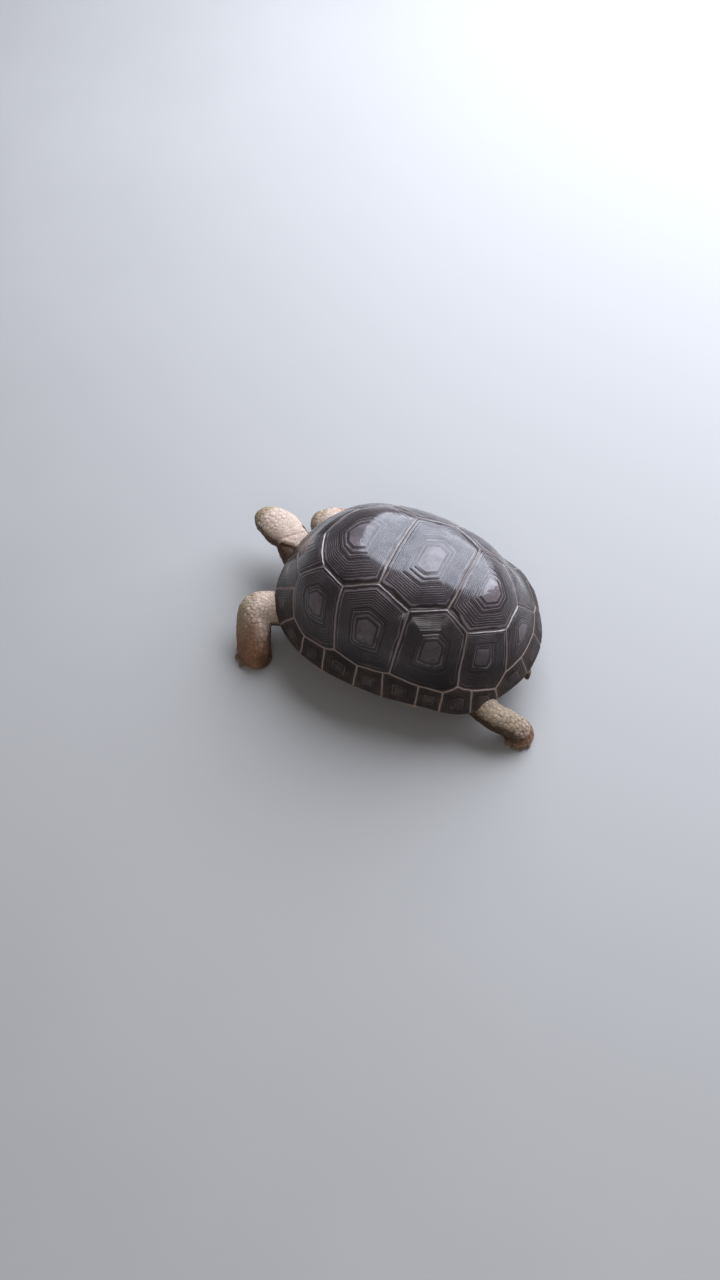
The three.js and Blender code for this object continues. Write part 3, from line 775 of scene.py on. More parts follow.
class TORTOISE_OT_rim(bpy.types.Operator):
    """Builds the plates round the rim, with those over the neck and the tail"""

    bl_idname = "tortoise.rim"
    bl_label = "Plates of the rim"

    def execute(self, context):
        sizes = shell_sizes(context.scene.tortoise_shell, 0.55)
        plates = [([f"marginal_left_{i}", f"marginal_right_{i}"], outline, names)
                  for i, names in enumerate(MARGINALS, 1)]
        plates.append((["nuchal"], middle_outline, ["rimMid", "r0", "nuchal", "frontMid"]))
        plates.append((["supracaudal"], middle_outline, ["rearMid", "caudal", "r11", "rimTail"]))
        for nodes, drawn, names in plates:
            edge, open_edge = drawn(names, sizes["spacing"])
            heart = on_shell(edge.mean(0)[None, :])[0]
            shell_plates(nodes, edge, open_edge, heart, 5, RIM_PLATE, sizes)
        return {"FINISHED"}


# ------------------------------------------------------------------ the soft body's forms

# Stations of a limb: x, y, z, half width across it, half depth along the body, in millimetres.
LIMBS = {
    "leg_front_left": {
        "up": (0.45, 0.85, 0.3), "power": 2.3,
        "path": [(44, -118, 56, 25, 24), (66, -154, 46, 23, 24), (86, -185, 49, 21, 26),
                 (107, -181, 31, 20.5, 28), (121, -174, 12, 20.5, 27.5), (125, -171, -6, 21, 26.5)],
        "toes": {"centre": (124, -171), "reach": 24, "fan": (-150, -22), "count": 5},
    },
    "leg_front_right": {
        "up": (-0.45, 0.85, 0.3), "power": 2.3,
        "path": [(-46, -118, 56, 25, 24), (-72, -150, 42, 23, 24), (-94, -171, 43, 21, 25),
                 (-112, -166, 28, 20, 26.5), (-122, -158, 12, 20, 26), (-125, -156, -6, 21, 25)],
        "toes": {"centre": (-124, -157), "reach": 24, "fan": (-158, -30), "count": 5},
    },
    "leg_hind_left": {
        "up": (0.2, 0.3, 1), "power": 2.3,
        "path": [(56, 98, 50, 27, 24), (81, 130, 40, 21, 21), (92, 157, 34, 17.5, 18.5),
                 (90, 181, 26, 17.5, 18), (87, 193, 11, 18.5, 19), (86, 195, -6, 20.5, 19.5)],
        "toes": {"centre": (87, 194), "reach": 17.5, "fan": (-28, 62), "count": 4},
    },
    "leg_hind_right": {
        "up": (-0.9, 0.2, 0.3), "power": 2.3,
        "path": [(-58, 92, 50, 26, 24), (-92, 80, 42, 22, 23), (-112, 84, 30, 18, 20),
                 (-116, 96, 18, 18, 18), (-116, 100, 8, 19, 19), (-116, 101, -6, 20, 19)],
        "toes": {"centre": (-116, 100), "reach": 18, "fan": (170, 262), "count": 4},
    },
    "tail": {
        "up": (1, 0, 0), "power": 2.0,
        "path": [(0, 132, 50, 15, 14), (3, 157, 40, 12, 12), (8, 171, 29, 8, 8), (12, 176, 19, 3.5, 3.5)],
    },
    "neck": {
        "up": (0, 0, 1), "power": 2.1,
        "path": [(4, -128, 58, 30, 24), (-5, -157, 57, 28.5, 21), (-21, -179, 61.5, 28, 19),
                 (-33, -197, 68.5, 25, 17.5)],
    },
}
COAT_DEPTH = 0.9
HEAD_BASE = np.array([-32.5, -194.0, 68.5])
HEAD_YAW, HEAD_PITCH = math.radians(-18.5), math.radians(3)
HEAD_LENGTH = 68.0
MOUTH_Z = -5.5
EYE_RADIUS = 6.0
EYE_PLACE = np.array([17.0, -43.5, 5.4])
# distance from the nape, half width, height above and depth below the head's axis
HEAD_SECTIONS = np.array([
    (0, 23.5, 16.2, 15.6), (6, 25.4, 18, 16.8), (14, 27, 19.8, 17.4), (24, 27.2, 20.6, 16.8),
    (34, 25.4, 20.4, 15.8), (43, 22.6, 19, 14.4), (51, 19.4, 16.8, 13.4), (58, 16, 13.4, 12.4),
    (63.5, 12.4, 9.4, 11), (67, 7.4, 4.4, 8.6),
])
HEAD_TURN = np.array(Matrix.Rotation(HEAD_YAW, 3, "Z") @ Matrix.Rotation(HEAD_PITCH, 3, "X"))


def unit(v):
    v = np.asarray(v, float)
    return v / np.linalg.norm(v, axis=-1, keepdims=True)


def from_head(points):
    return np.asarray(points, float) @ HEAD_TURN.T + HEAD_BASE


def to_head(points):
    return (np.asarray(points, float) - HEAD_BASE) @ HEAD_TURN


def smooth_path(stations, u):
    """A centripetal Catmull-Rom curve through the stations' points, u from 0 to 1."""
    p = np.array([s[:3] for s in stations], float)
    p = np.vstack([2 * p[0] - p[1], p, 2 * p[-1] - p[-2]])
    t = np.clip(u, 0, 1) * (len(stations) - 1)
    i = np.minimum(t.astype(int), len(stations) - 2)
    w = (t - i)[:, None]
    a, b, c, d = p[i], p[i + 1], p[i + 2], p[i + 3]
    gaps = [np.sqrt(np.linalg.norm(q - r, axis=1))[:, None] for q, r in ((a, b), (b, c), (c, d))]
    slope_b = ((b - a) / gaps[0] - (c - a) / (gaps[0] + gaps[1]) + (c - b) / gaps[1]) * gaps[1]
    slope_c = ((c - b) / gaps[1] - (d - b) / (gaps[1] + gaps[2]) + (d - c) / gaps[2]) * gaps[1]
    square, cube = 3 * (c - b) - 2 * slope_b - slope_c, 2 * (b - c) + slope_b + slope_c
    return b + slope_b * w + square * w**2 + cube * w**3


def limb_frame(limb, u):
    """A limb's centre, its sideways, backward and forward directions and its half sizes at shares u."""
    centre = smooth_path(limb["path"], u)
    forward = unit(smooth_path(limb["path"], u + 1e-3) - smooth_path(limb["path"], u - 1e-3))
    side = unit(np.cross(unit(limb["up"]), forward))
    back = np.cross(forward, side)
    t = np.clip(u, 0, 1) * (len(limb["path"]) - 1)
    i = np.minimum(t.astype(int), len(limb["path"]) - 2)
    sizes = np.array([s[3:] for s in limb["path"]], float)
    size = sizes[i] + (sizes[i + 1] - sizes[i]) * smooth(t - i)[:, None]
    return centre, side, back, forward, size


def signed_power(v, n):
    return np.sign(v) * np.abs(v) ** n


def limb_surface(limb, u, angle, inset):
    centre, side, back, _forward, size = limb_frame(limb, u)
    x = signed_power(np.cos(angle), 2 / limb["power"]) * (size[:, 0] - inset)
    y = signed_power(np.sin(angle), 2 / limb["power"]) * (size[:, 1] - inset)
    return centre + side * x[:, None] + back * y[:, None]


def head_size(s):
    return [np.interp(s, HEAD_SECTIONS[:, 0], HEAD_SECTIONS[:, k]) for k in (1, 2, 3)]


def head_surface(s, angle, inset=0.0):
    """A point of the head's outside, in the head's own frame, its nose towards -Y."""
    width, height, depth = head_size(s)
    c, q = np.cos(angle), np.sin(angle)
    x = signed_power(c, 0.82) * (width - inset)
    z = signed_power(q, 0.86) * (np.where(q > 0, height, depth) - inset)
    return np.stack([x, -s, z], axis=1)


def on_head(origins, directions):
    """Where lines from inside the head leave it, and the outward direction there, in the head's own frame."""

    def outside(p):
        width, height, depth = head_size(-p[:, 1])
        shrink = np.sqrt(np.clip(1 - np.clip((-p[:, 1] - 67) / 1.3, 0, 1) ** 2, 1e-4, 1))
        tall = np.where(p[:, 2] > 0, height, depth)
        x, z = np.abs(p[:, 0]) / (width * shrink), np.abs(p[:, 2]) / (tall * shrink)
        return x ** (2 / 0.82) + z ** (2 / 0.86) - 1

    directions = unit(directions)
    low, high = np.zeros(len(origins)), np.full(len(origins), 70.0)
    for _ in range(30):
        middle = (low + high) / 2
        out = outside(origins + directions * middle[:, None]) > 0
        low, high = np.where(out, low, middle), np.where(out, middle, high)
    found = origins + directions * low[:, None]
    steps = np.eye(3) * 0.25
    slope = np.stack([outside(found + step) - outside(found - step) for step in steps], axis=1)
    return found, unit(slope)


def tube(name, around, rings):
    """A closed tube of rings, whose points are given back as their share of its length and their angle."""
    deselect()
    bpy.ops.mesh.primitive_cylinder_add(vertices=around, radius=1, depth=1, location=(0, 0, 0.5))
    piece = started(name)
    settle(piece)
    upright = [
        e.index
        for e in piece.data.edges
        if abs(piece.data.vertices[e.vertices[0]].co.z - piece.data.vertices[e.vertices[1]].co.z) > 0.5
    ]
    edit(piece, "EDGE")
    pick(piece, edges=upright)
    bpy.ops.mesh.subdivide_edgering(number_cuts=rings, interpolation="LINEAR")
    leave()
    at = unit_places(piece)
    return piece, at[:, 2], np.arctan2(at[:, 1], at[:, 0])


def limb_form(name, limb):
    piece, u, angle = tube(name, 40, 34)
    points = limb_surface(limb, u, angle, COAT_DEPTH)
    points[:, 2] = np.maximum(points[:, 2], 0.25)
    lay(piece, points)
    return piece


def head_form():
    """The skull's form, with its cheeks, brows and snout standing out."""
    piece, u, angle = tube("skull", 48, 40)
    s = -3.0 + (HEAD_LENGTH * 0.985 + 3.0) * np.sin(u * math.pi / 2) ** 0.9
    lay(piece, from_head(head_surface(s, angle, COAT_DEPTH * 0.7)))
    forms = [piece]
    for side in (-1, 1):
        for label, place, size in (
            ("cheek", (15.5 * side, -21, -3.5), (8.6, 12.5, 10.5)),
            ("brow", (12.0 * side, -43.0, 11.0), (6.2, 9.0, 4.6)),
            ("jaw", (10.5 * side, -42, -8.5), (6.5, 14, 4.6)),
        ):
            forms.append(egg(label, from_head(place), size))
    return forms


def egg(name, place, size):
    """An ellipsoid turned with the head."""
    deselect()
    bpy.ops.mesh.primitive_uv_sphere_add(segments=24, ring_count=14, radius=1)
    piece = started(name)
    unit_points = unit_places(piece)
    lay(piece, (unit_points * size) @ HEAD_TURN.T + place)
    return piece


def tray_top(x):
    """The height of the plastron's inner face."""
    return np.interp(np.abs(x), (82, 107, 126, 140), (28, 35.5, 46.3, 46.3))


def trunk_form():
    """The body inside the shell: it fills the openings in front and behind, over the plastron's tray."""
    deselect()
    bpy.ops.mesh.primitive_uv_sphere_add(segments=64, ring_count=24, radius=1)
    piece = started("trunk")
    at = unit_places(piece)
    angle = np.arctan2(at[:, 1], at[:, 0])
    level = np.abs(at[:, 2])
    c, s = np.cos(angle), np.sin(angle)
    half_width, front, rear = 131, 139.5, 147.5
    reach = np.where(s < 0, front, rear)
    share = np.sqrt(np.maximum(1 - level**2, 0)) ** 0.4
    x = signed_power(c, 0.72) * half_width * share
    y = CENTRE_Y + signed_power(s, 0.8) * reach * share
    z = 57 + np.sign(at[:, 2]) * level**0.5 * 31
    points = np.stack([x, y, z], axis=1)
    room = np.linalg.norm(on_shell(points, -9.2) - FOCUS, axis=1)
    out = np.linalg.norm(points - FOCUS, axis=1)
    points = FOCUS + (points - FOCUS) * np.minimum(1, room / out)[:, None]
    points[:, 2] = np.maximum(points[:, 2], tray_top(points[:, 0]) + 1.2)
    lay(piece, points)
    return piece


# ------------------------------------------------------------------ where a point of the hide lies

TRUNK = len(LIMBS) + 1
HEAD = len(LIMBS)
REGIONS = [*LIMBS, "head", "trunk"]
SAMPLES = 70


def locate(points):
    """The region of the body each point lies on, its share of that region's length and its angle round it."""
    shares = np.linspace(0, 1, SAMPLES)
    best = np.full(len(points), 1.32)
    region = np.full(len(points), TRUNK)
    u = np.zeros(len(points))
    angle = np.arctan2(points[:, 1] - CENTRE_Y, points[:, 0])
    for k, limb in enumerate(LIMBS.values()):
        centre, side, back, _forward, size = limb_frame(limb, shares)
        near = np.empty(len(points), int)
        for start in range(0, len(points), 20000):
            part = points[start : start + 20000]
            near[start : start + 20000] = ((part[:, None, :] - centre[None]) ** 2).sum(2).argmin(1)
        off = points - centre[near]
        x = (off * side[near]).sum(1) / size[near, 0]
        y = (off * back[near]).sum(1) / size[near, 1]
        past_end = np.linalg.norm(off, axis=1) / size[near].max(1)
        q = np.maximum((np.abs(x) ** 2.3 + np.abs(y) ** 2.3) ** (1 / 2.3), past_end * 0.8)
        better = q < best
        best, region = np.where(better, q, best), np.where(better, k, region)
        u, angle = np.where(better, shares[near], u), np.where(better, np.arctan2(y, x), angle)
    local = to_head(points)
    width, height, depth = head_size(np.clip(-local[:, 1], 0, HEAD_LENGTH))
    tall = np.where(local[:, 2] > 0, height, depth)
    q = np.hypot(local[:, 0] / width, local[:, 2] / tall)
    in_head = (local[:, 1] < 1.5) & (local[:, 1] > -75) & (q < 1.6)
    region = np.where(in_head, HEAD, region)
    u = np.where(in_head, -local[:, 1] / HEAD_LENGTH, u)
    angle = np.where(in_head, np.arctan2(local[:, 2], local[:, 0]), angle)
    return region, u, angle


def bump_at(points, place, radius):
    return np.exp(-(((points - place) ** 2).sum(1)) / radius**2)


def hanging_skin(u, angle):
    """How far above the free edge of the neck's loose skin a point lies, as an angle, negative below it."""
    left = math.radians(82) - math.radians(52) * smooth((u - 0.55) / 0.5)
    turned = np.where(angle > math.radians(-90), angle, angle + 2 * math.pi)
    return np.minimum(turned - left, math.radians(146) - turned)


def folds(points, region, u, angle):
    """How far the skin stands out or sinks in: creases across the limbs, the loose neck and the toes."""
    out = 0.45 * noise_at(points, 0.11, 1) + 0.2 * noise_at(points, 0.3, 2)
    length = np.ones(len(points))
    for k, limb in enumerate(LIMBS.values()):
        path = np.array([s[:3] for s in limb["path"]], float)
        length[region == k] = np.linalg.norm(np.diff(path, axis=0), axis=1).sum()
    along = u * length
    around = np.stack([along / 5.2, np.cos(angle) * 0.8, np.sin(angle) * 0.8], axis=1)
    crease = noise_at(around, 1.0, 3)
    crease = -bell(crease, 0.12)
    joint = np.zeros(len(points))
    for k, name in enumerate(LIMBS):
        here = region == k
        if name.startswith("leg_front"):
            where = 0.9 * bell(u - 0.46, 0.1) + 0.8 * bell(u - 0.1, 0.16)
            where += 0.45 * bell(u - 0.84, 0.05)
        elif name.startswith("leg_hind"):
            where = 1.15 * bell(u - 0.68, 0.12) + 0.8 * bell(u - 0.12, 0.16)
        elif name == "neck":
            where = 0.9
        else:
            where = 0.25
        joint = np.where(here, where, joint)
    out += crease * joint
    neck = region == list(LIMBS).index("neck")
    bend = u - 0.86 - 0.03 * np.sin(angle * 2 + 0.6)
    out += np.where(neck, 0.8 * bell(bend, 0.05) - 1.3 * bell(bend - 0.055, 0.014), 0)
    hang = hanging_skin(u, angle)
    out += np.where(neck, 0.8 * bell(hang / 0.16 - 1.1) - 1.9 * bell(hang / 0.2 + 1.0), 0)
    trunk = region == TRUNK
    loose = noise_at(points * [0.6, 0.6, 1.6], 0.085, 5)
    out += np.where(trunk, 1.2 * loose - 0.9 * bell(loose, 0.1), 0)
    for limb in LIMBS.values():
        if "toes" in limb:
            for outwards in toe_directions(limb):
                base = np.array([*limb["toes"]["centre"], 6.0]) + outwards * (limb["toes"]["reach"] - 4)
                out += 1.7 * bump_at(points, base, 5.2)
    return out


def toe_directions(limb):
    toes = limb["toes"]
    first, last = toes["fan"]
    for i in range(toes["count"]):
        a = math.radians(first + (last - first) * i / (toes["count"] - 1))
        yield np.array([math.cos(a), math.sin(a), 0.0])


# ------------------------------------------------------------------ colours that skin and scales share


MARKS = ("tan", "rust", "dust", "olive")


def hide_marks(points, facing, region, u, angle):
    """How pale, rusty, dusty and olive the hide is at each point, by its place and the way it faces. The
    paleness is partly the hide's own colour and partly painted light: it is highest where the hide faces the
    sky, and lowest, as painted shade, where it faces away.
    """
    marks = {
        "tan": np.full(len(points), 0.12),
        "rust": np.full(len(points), 0.2),
        "olive": np.zeros(len(points)),
    }

    def paint(here, **values):
        for mark, value in values.items():
            marks[mark] = np.where(here, value, marks[mark])

    # How far each point faces up to the sky: the marks below use it to paint light on faces turned up and
    # shade on faces turned away.
    sky = facing[:, 2]
    height = points[:, 2]
    for k, name in enumerate(LIMBS):
        here = region == k
        if name.startswith("leg_front"):
            elbow = smooth((height - 22) / 34)
            behind = smooth((facing[:, 1] - 0.1) / 0.7)
            ahead = smooth((-facing[:, 1] - 0.15) / 0.6)
            # Painted light: the upper arm and elbow are paler the more they face the sky, and darker below as
            # painted shade.
            paint(here, tan=0.12 + elbow * (0.2 + 0.68 * smooth((sky + 0.25) / 0.9)))
            paint(here, rust=0.12 + 0.8 * smooth((u - 0.34) / 0.32) - 0.45 * behind)
            paint(here, olive=0.95 * ahead * smooth((height - 24) / 30))
        elif name.startswith("leg_hind"):
            # Painted light: the shank is paler where it faces the sky.
            paint(here, tan=0.08 + 0.52 * smooth((sky + 0.05) / 0.8) * smooth((height - 12) / 16))
            paint(here, rust=0.1 + 0.75 * smooth((u - 0.64) / 0.26))
            # Olive on the upper leg's top is the hide's own hue, but it is laid on where the leg faces the
            # sky, so it is painted light as well.
            paint(here, olive=0.45 * smooth((sky - 0.2) / 0.5) * smooth((0.72 - u) / 0.1))
        elif name == "neck":
            # Painted shade: the neck is pale only above the free edge of its loose skin, where it faces the
            # sky, and darker and rustier below the fold.
            loose = hanging_skin(u, angle)
            paint(here, tan=smooth((loose + 0.1) / 0.17) * smooth((sky + 0.4) / 0.5))
            paint(here, rust=0.1 + 0.2 * smooth(-loose / 0.4))
        elif name == "tail":
            # Painted light: the tail is paler where it faces the sky.
            paint(here, tan=0.1 + 0.4 * smooth(sky))
    local = to_head(points)
    head = region == HEAD
    snout = smooth((-local[:, 1] - 33 - 0.35 * local[:, 2]) / 15)
    # Painted light: the head is pale on top where it faces the sky, and dark brown on its low sides as
    # painted shade.
    paint(head, tan=0.06 + 0.94 * smooth((sky - 0.05) / 0.68) * smooth((local[:, 2] + 1) / 12))
    # Painted shade: rust rises on the sides of the head that face away from the sky.
    paint(head, rust=0.08 + 0.22 * smooth((0.85 - sky) / 0.6))
    paint(head, olive=snout * (0.9 - 0.2 * smooth((local[:, 2] - 12) / 8)))
    paint(head, tan=np.maximum(marks["tan"], 0.5 * snout))
    marks["dust"] = smooth((14 - height) / 12)
    return [np.clip(marks[name], 0, 1) for name in MARKS]


def stamp_marks(piece, points, facing, located):
    for name, values in zip(MARKS, hide_marks(points, facing, *located)):
        stamp(piece, name, values)


def hide_group():
    """The hide's colours from its marks: pale with painted light where it faces the sky, brown as painted
    shade where it faces away, rusty brown down the limbs, dust at the feet.
    """
    nodes, source, sink = new_group(
        "Hide colours",
        {"Coordinates": None, "Lit tan": 0.5, "Rust": 0.2, "Dust": 0.0, "Olive": 0.0,
         **{f"{name} colour": (0.5, 0.5, 0.5, 1.0) for name in ("Pale", "Brown", "Rust", "Dust", "Olive")}},
        {"Colour": (0.0, 0.0, 0.0, 1.0), "Mottle": 0.0},
    )
    coords = source["Coordinates"]
    broad = nodes.noise(coords, 34.0, detail=4.0)
    speck = nodes.noise(coords, 210.0, detail=4.0, roughness=0.6)
    fleck = nodes.noise(coords, 430.0, detail=3.0)
    # The Tan input carries painted light and shade: it mixes the brown colour up to the pale one.
    shifted = nodes.plus(source["Lit tan"], nodes.times(nodes.minus(broad, 0.5), 0.6))
    colour = nodes.mix(nodes.ramp(shifted, 0.1, 0.9), source["Brown colour"], source["Pale colour"])
    rusty = nodes.plus(source["Rust"], nodes.times(nodes.minus(broad, 0.5), 0.7))
    colour = nodes.mix(nodes.ramp(rusty, 0.15, 0.95, 0.0, 0.92), colour, source["Rust colour"])
    dark = nodes.mix(1.0, colour, (0.42, 0.36, 0.33, 1), mode="MULTIPLY")
    mottled = nodes.minus(1.0, nodes.times(source["Lit tan"], 0.75))
    mottled = nodes.times(nodes.ramp(speck, 0.56, 0.72, 0.0, 0.75), mottled)
    colour = nodes.mix(mottled, colour, dark)
    colour = nodes.mix(source["Olive"], colour, source["Olive colour"])
    flecks = nodes.times(nodes.ramp(fleck, 0.54, 0.64), source["Olive"])
    colour = nodes.mix(nodes.times(flecks, 0.75), colour, (0.06, 0.038, 0.018, 1))
    patch = nodes.times(source["Dust"], nodes.ramp(broad, 0.3, 0.7, 0.2, 0.8))
    colour = nodes.mix(patch, colour, source["Dust colour"])
    return nodes.give(sink, {"Colour": colour, "Mottle": speck})


def hide_material(name, settings, darker, groove, vary=0.5):
    """Skin or scales: groove is how much darker the scales' low edges are, vary how much they differ."""
    material, nodes, shader = new_material(name, specular=0.35, subsurface=0.06)
    coords = nodes.coords()
    hide = nodes.use(shared("Hide colours"), {
        "Coordinates": coords, "Lit tan": nodes.read("tan"), "Rust": nodes.read("rust"),
        "Dust": nodes.read("dust"), "Olive": nodes.read("olive"), "Pale colour": rgba(settings.pale),
        "Brown colour": rgba(settings.brown), "Rust colour": rgba(settings.rusty),
        "Dust colour": rgba(settings.dusty), "Olive colour": rgba(settings.olive),
    })
    fine = nodes.noise(coords, 1500.0, detail=3.0)
    colour = nodes.mix(darker, hide["Colour"], (0.06, 0.042, 0.032, 1))
    if groove:
        rise = nodes.read("rise")
        tone = nodes.read("tone")
        # Painted shade: each scale darkens down its low sides into the groove between scales.
        shade = nodes.mix(1.0, colour, (0.32, 0.25, 0.2, 1), mode="MULTIPLY")
        colour = nodes.mix(nodes.ramp(rise, 0.8, 0.1, 0.0, groove), colour, shade)
        light = nodes.mix(1.0, colour, (1 + 0.4 * vary, 1 + 0.32 * vary, 1 + 0.24 * vary, 1), mode="MULTIPLY")
        dull = nodes.mix(1.0, colour, (1 - 0.5 * vary, 1 - 0.58 * vary, 1 - 0.64 * vary, 1), mode="MULTIPLY")
        colour = nodes.mix(nodes.ramp(tone, 0.0, 1.0), dull, light)
    nodes.wire(shader, {"Base Color": colour, "Roughness": nodes.ramp(hide["Mottle"], 0.3, 0.7, 0.5, 0.72)})
    height = nodes.plus(nodes.times(fine, 0.4), hide["Mottle"])
    if not groove:
        sockets = {"Vector": coords, "Scale": 700.0}
        cells = nodes.add("ShaderNodeTexVoronoi", sockets, feature="DISTANCE_TO_EDGE")
        height = nodes.plus(height, nodes.ramp(cells["Distance"], 0.0, 0.3))
    nodes.bump(shader, height, 0.00022, 0.8)
    return material


# ------------------------------------------------------------------ skin


def joined(name, forms):
    deselect()
    for form in forms:
        form.select_set(True)
    bpy.context.view_layer.objects.active = forms[0]
    bpy.ops.object.join()
    forms[0].name = forms[0].data.name = name
    return forms[0]


def face_centres(piece):
    """The middle of each face, in millimetres in the animal's frame, and the way it faces."""
    faces = piece.data.polygons
    return triples(faces, "center") * 1000 - MIDDLE, triples(faces, "normal")


def point_normals(piece):
    return triples(piece.data.vertex_normals, "vector")


def triangles(piece):
    """The numbers of the points at each triangle's corners."""
    piece.data.calc_loop_triangles()
    return triples(piece.data.loop_triangles, "vertices", int)


def near_tree(spots):
    """Spots to search by distance."""
    tree = KDTree(len(spots))
    for i, spot in enumerate(spots):
        tree.insert(spot, i)
    tree.balance()
    return tree


def pick_faces(piece, chosen):
    edit(piece, "FACE")
    leave()
    piece.data.polygons.foreach_set("select", np.asarray(chosen, bool))
    bpy.ops.object.mode_set(mode="EDIT")


def eye_axis(side):
    """Where the eye on one side looks, in the head's own frame, with its forward and upward directions."""
    out = unit(np.array([0.9 * side, -0.38, 0.14]))
    forward = unit(np.array([0.0, -1.0, 0.0]) - out * np.dot(out, [0, -1, 0]))
    return out, forward, np.cross(forward, out) * side


def eye_offsets(points, side):
    """How far points of the head lie from the eye's own axis, and how far out along it."""
    out, _forward, _up = eye_axis(side)
    off = to_head(points) - EYE_PLACE * [side, 1, 1]
    along = off @ out
    return np.linalg.norm(off - along[:, None] * out, axis=1), along


def nostril_place(side):
    """The middle of a nostril's opening, in the head's own frame."""
    found, _out = on_head(np.array([[2.9 * side, -56.0, 3.0]]), np.array([[0.12 * side, -1.0, 0.52]]))
    return found[0]


def beside_axis(local):
    """Which points are near enough to the head's axis to belong to the head."""
    return (np.abs(local[:, 0]) < 32) & (np.abs(local[:, 2]) < 30)


def shape_face(piece):
    """Sockets for the eyes, the crease behind the mouth, the ear and the nostrils' rise."""
    points = places(piece)
    normals = point_normals(piece)
    local = to_head(points)
    in_head = beside_axis(local) & (local[:, 1] < -1) & (local[:, 1] > -75)
    out = np.zeros(len(points))
    mouth = bell(local[:, 2] - MOUTH_Z - 0.08 * (local[:, 1] + 40), 0.9)
    out -= 0.9 * mouth * smooth((-local[:, 1] - 30) / 6) * smooth((local[:, 1] + 70) / 6)
    for side in (-1, 1):
        flip = np.array([side, 1, 1])
        ear = (((local - np.array([22, -17, -2.0]) * flip) / [9, 5.2, 5.8]) ** 2).sum(1)
        out += np.where(ear < 6, 0.55 * np.exp(-((np.sqrt(ear) - 1) ** 2) * 12) - 0.6 * np.exp(-ear * 1.6), 0)
        nostril = nostril_place(side)
        to_nostril = np.linalg.norm(local - nostril, axis=1)
        out += 0.55 * bump_at(local, nostril, 3.0) - 2.4 * np.exp(-((to_nostril / 1.05) ** 4))
    points += normals * (out * in_head)[:, None]
    for side in (-1, 1):
        axis = eye_axis(side)[0] @ HEAD_TURN.T
        aside, along = eye_offsets(points, side)
        sunk = in_head & (aside < 5.7) & (along > 0)
        points[sunk] += axis * (np.minimum(along, 1.8) - along)[sunk][:, None]
    lay(piece, points)


class HideSettings(bpy.types.PropertyGroup):
    cell: length_setting("Skin cell", "Size of the skin's faces", 0.0017, 0.001)
    scale_size: bpy.props.FloatProperty(
        name="Scale size", description="Share of the usual size of the scales", default=1.0, min=0.5, max=2.0
    )
    # The pale colour goes where the hide faces the sky, so it holds painted light as well as the hide's own
    # colour.
    pale: colour_setting("Tan hide", "Top of the head and the elbows", 0.62, 0.475, 0.375)
    brown: colour_setting("Brown hide", "Shaded and folded hide", 0.072, 0.036, 0.017)
    rusty: colour_setting("Rusty hide", "Lower limbs", 0.32, 0.155, 0.085)
    olive: colour_setting("Olive hide", "Snout and the front of the arms", 0.37, 0.29, 0.165)
    dusty: colour_setting("Dust", "Dry dirt at the feet", 0.26, 0.19, 0.13)
    horn: colour_setting("Beak and claws", "Horn of the beak and the claws", 0.21, 0.135, 0.08)


class TORTOISE_OT_skin(bpy.types.Operator):
    """Builds the one skin of the head, neck, trunk, limbs and tail"""

    bl_idname = "tortoise.skin"
    bl_label = "Skin"

    def execute(self, context):
        settings = context.scene.tortoise_hide
        forms = [trunk_form(), *head_form(), *(limb_form(name, limb) for name, limb in LIMBS.items())]
        skin = joined("skin", forms)
        use_modifier(skin, "REMESH", "one_skin", mode="VOXEL", voxel_size=settings.cell)

        centres, facing = face_centres(skin)
        plan = np.hypot(centres[:, 0] / 100, (centres[:, 1] - CENTRE_Y) / 105)
        hidden = (plan < 1) & (np.abs(facing[:, 2]) > 0.97) & ((centres[:, 2] > 84) | (centres[:, 2] < 31))
        hidden &= (centres[:, 2] > 84) | (np.abs(centres[:, 0]) < 78)
        pick_faces(skin, hidden)
        bpy.ops.mesh.dissolve_limited(angle_limit=math.radians(12))
        leave()
        use_modifier(skin, "SMOOTH", "soften", factor=0.5, iterations=5)

        centres, _facing = face_centres(skin)
        local = to_head(centres)
        pick_faces(skin, beside_axis(local) & (local[:, 1] < -5))
        bpy.ops.mesh.subdivide(number_cuts=1)
        bpy.ops.mesh.vertices_smooth(factor=0.5, repeat=2)
        leave()
        local = to_head(face_centres(skin)[0])
        nostrils = np.minimum(*(np.linalg.norm(local - nostril_place(side), axis=1) for side in (-1, 1)))
        pick_faces(skin, nostrils < 4)
        bpy.ops.mesh.subdivide(number_cuts=1)
        leave()

        points = places(skin)
        located = locate(points)
        lay(skin, points + point_normals(skin) * folds(points, *located)[:, None])
        shape_face(skin)
        points = places(skin)
        points[:, 2] = np.maximum(points[:, 2], 0.2)
        lay(skin, points)
        stamp_marks(skin, points, point_normals(skin), located)
        edit(skin, chosen="SELECT")
        bpy.ops.mesh.normals_make_consistent(inside=False)
        leave()
        flesh = ("trunk", "neck", "head", "tail", *(name for name in LIMBS if name.startswith("leg")))
        finish_piece(skin, hide_material("Skin", settings, 0.25, 0.0), "limb_skin", *flesh)
        return {"FINISHED"}


# ------------------------------------------------------------------ scales


def usual_radius(points, region, u, angle):
    """Half the width of the scales at each point, in millimetres."""
    size = np.full(len(points), 1.9)
    for k, name in enumerate(LIMBS):
        here = region == k
        if name.startswith("leg_front"):
            fore = smooth((u - 0.4) / 0.12) * smooth((0.9 - u) / 0.08)
            fore *= (0.55 + 0.45 * np.cos(angle)) ** 0.8
            size = np.where(here, 1.6 + 0.5 * smooth((u - 0.1) / 0.2) + 1.5 * fore, size)
        elif name.startswith("leg_hind"):
            size = np.where(here, 1.6 + 0.9 * smooth((u - 0.15) / 0.3), size)
        elif name == "neck":
            size = np.where(here, 1.25, size)
        elif name == "tail":
            size = np.where(here, 1.7 - 0.6 * u, size)
    local = to_head(points)
    head = region == HEAD
    crown = smooth((local[:, 2] - 4) / 8) * smooth((u - 0.12) / 0.2)
    size = np.where(head, 1.15 + 0.25 * smooth((local[:, 2] + 8) / 10) + 1.1 * crown, size)
    return size


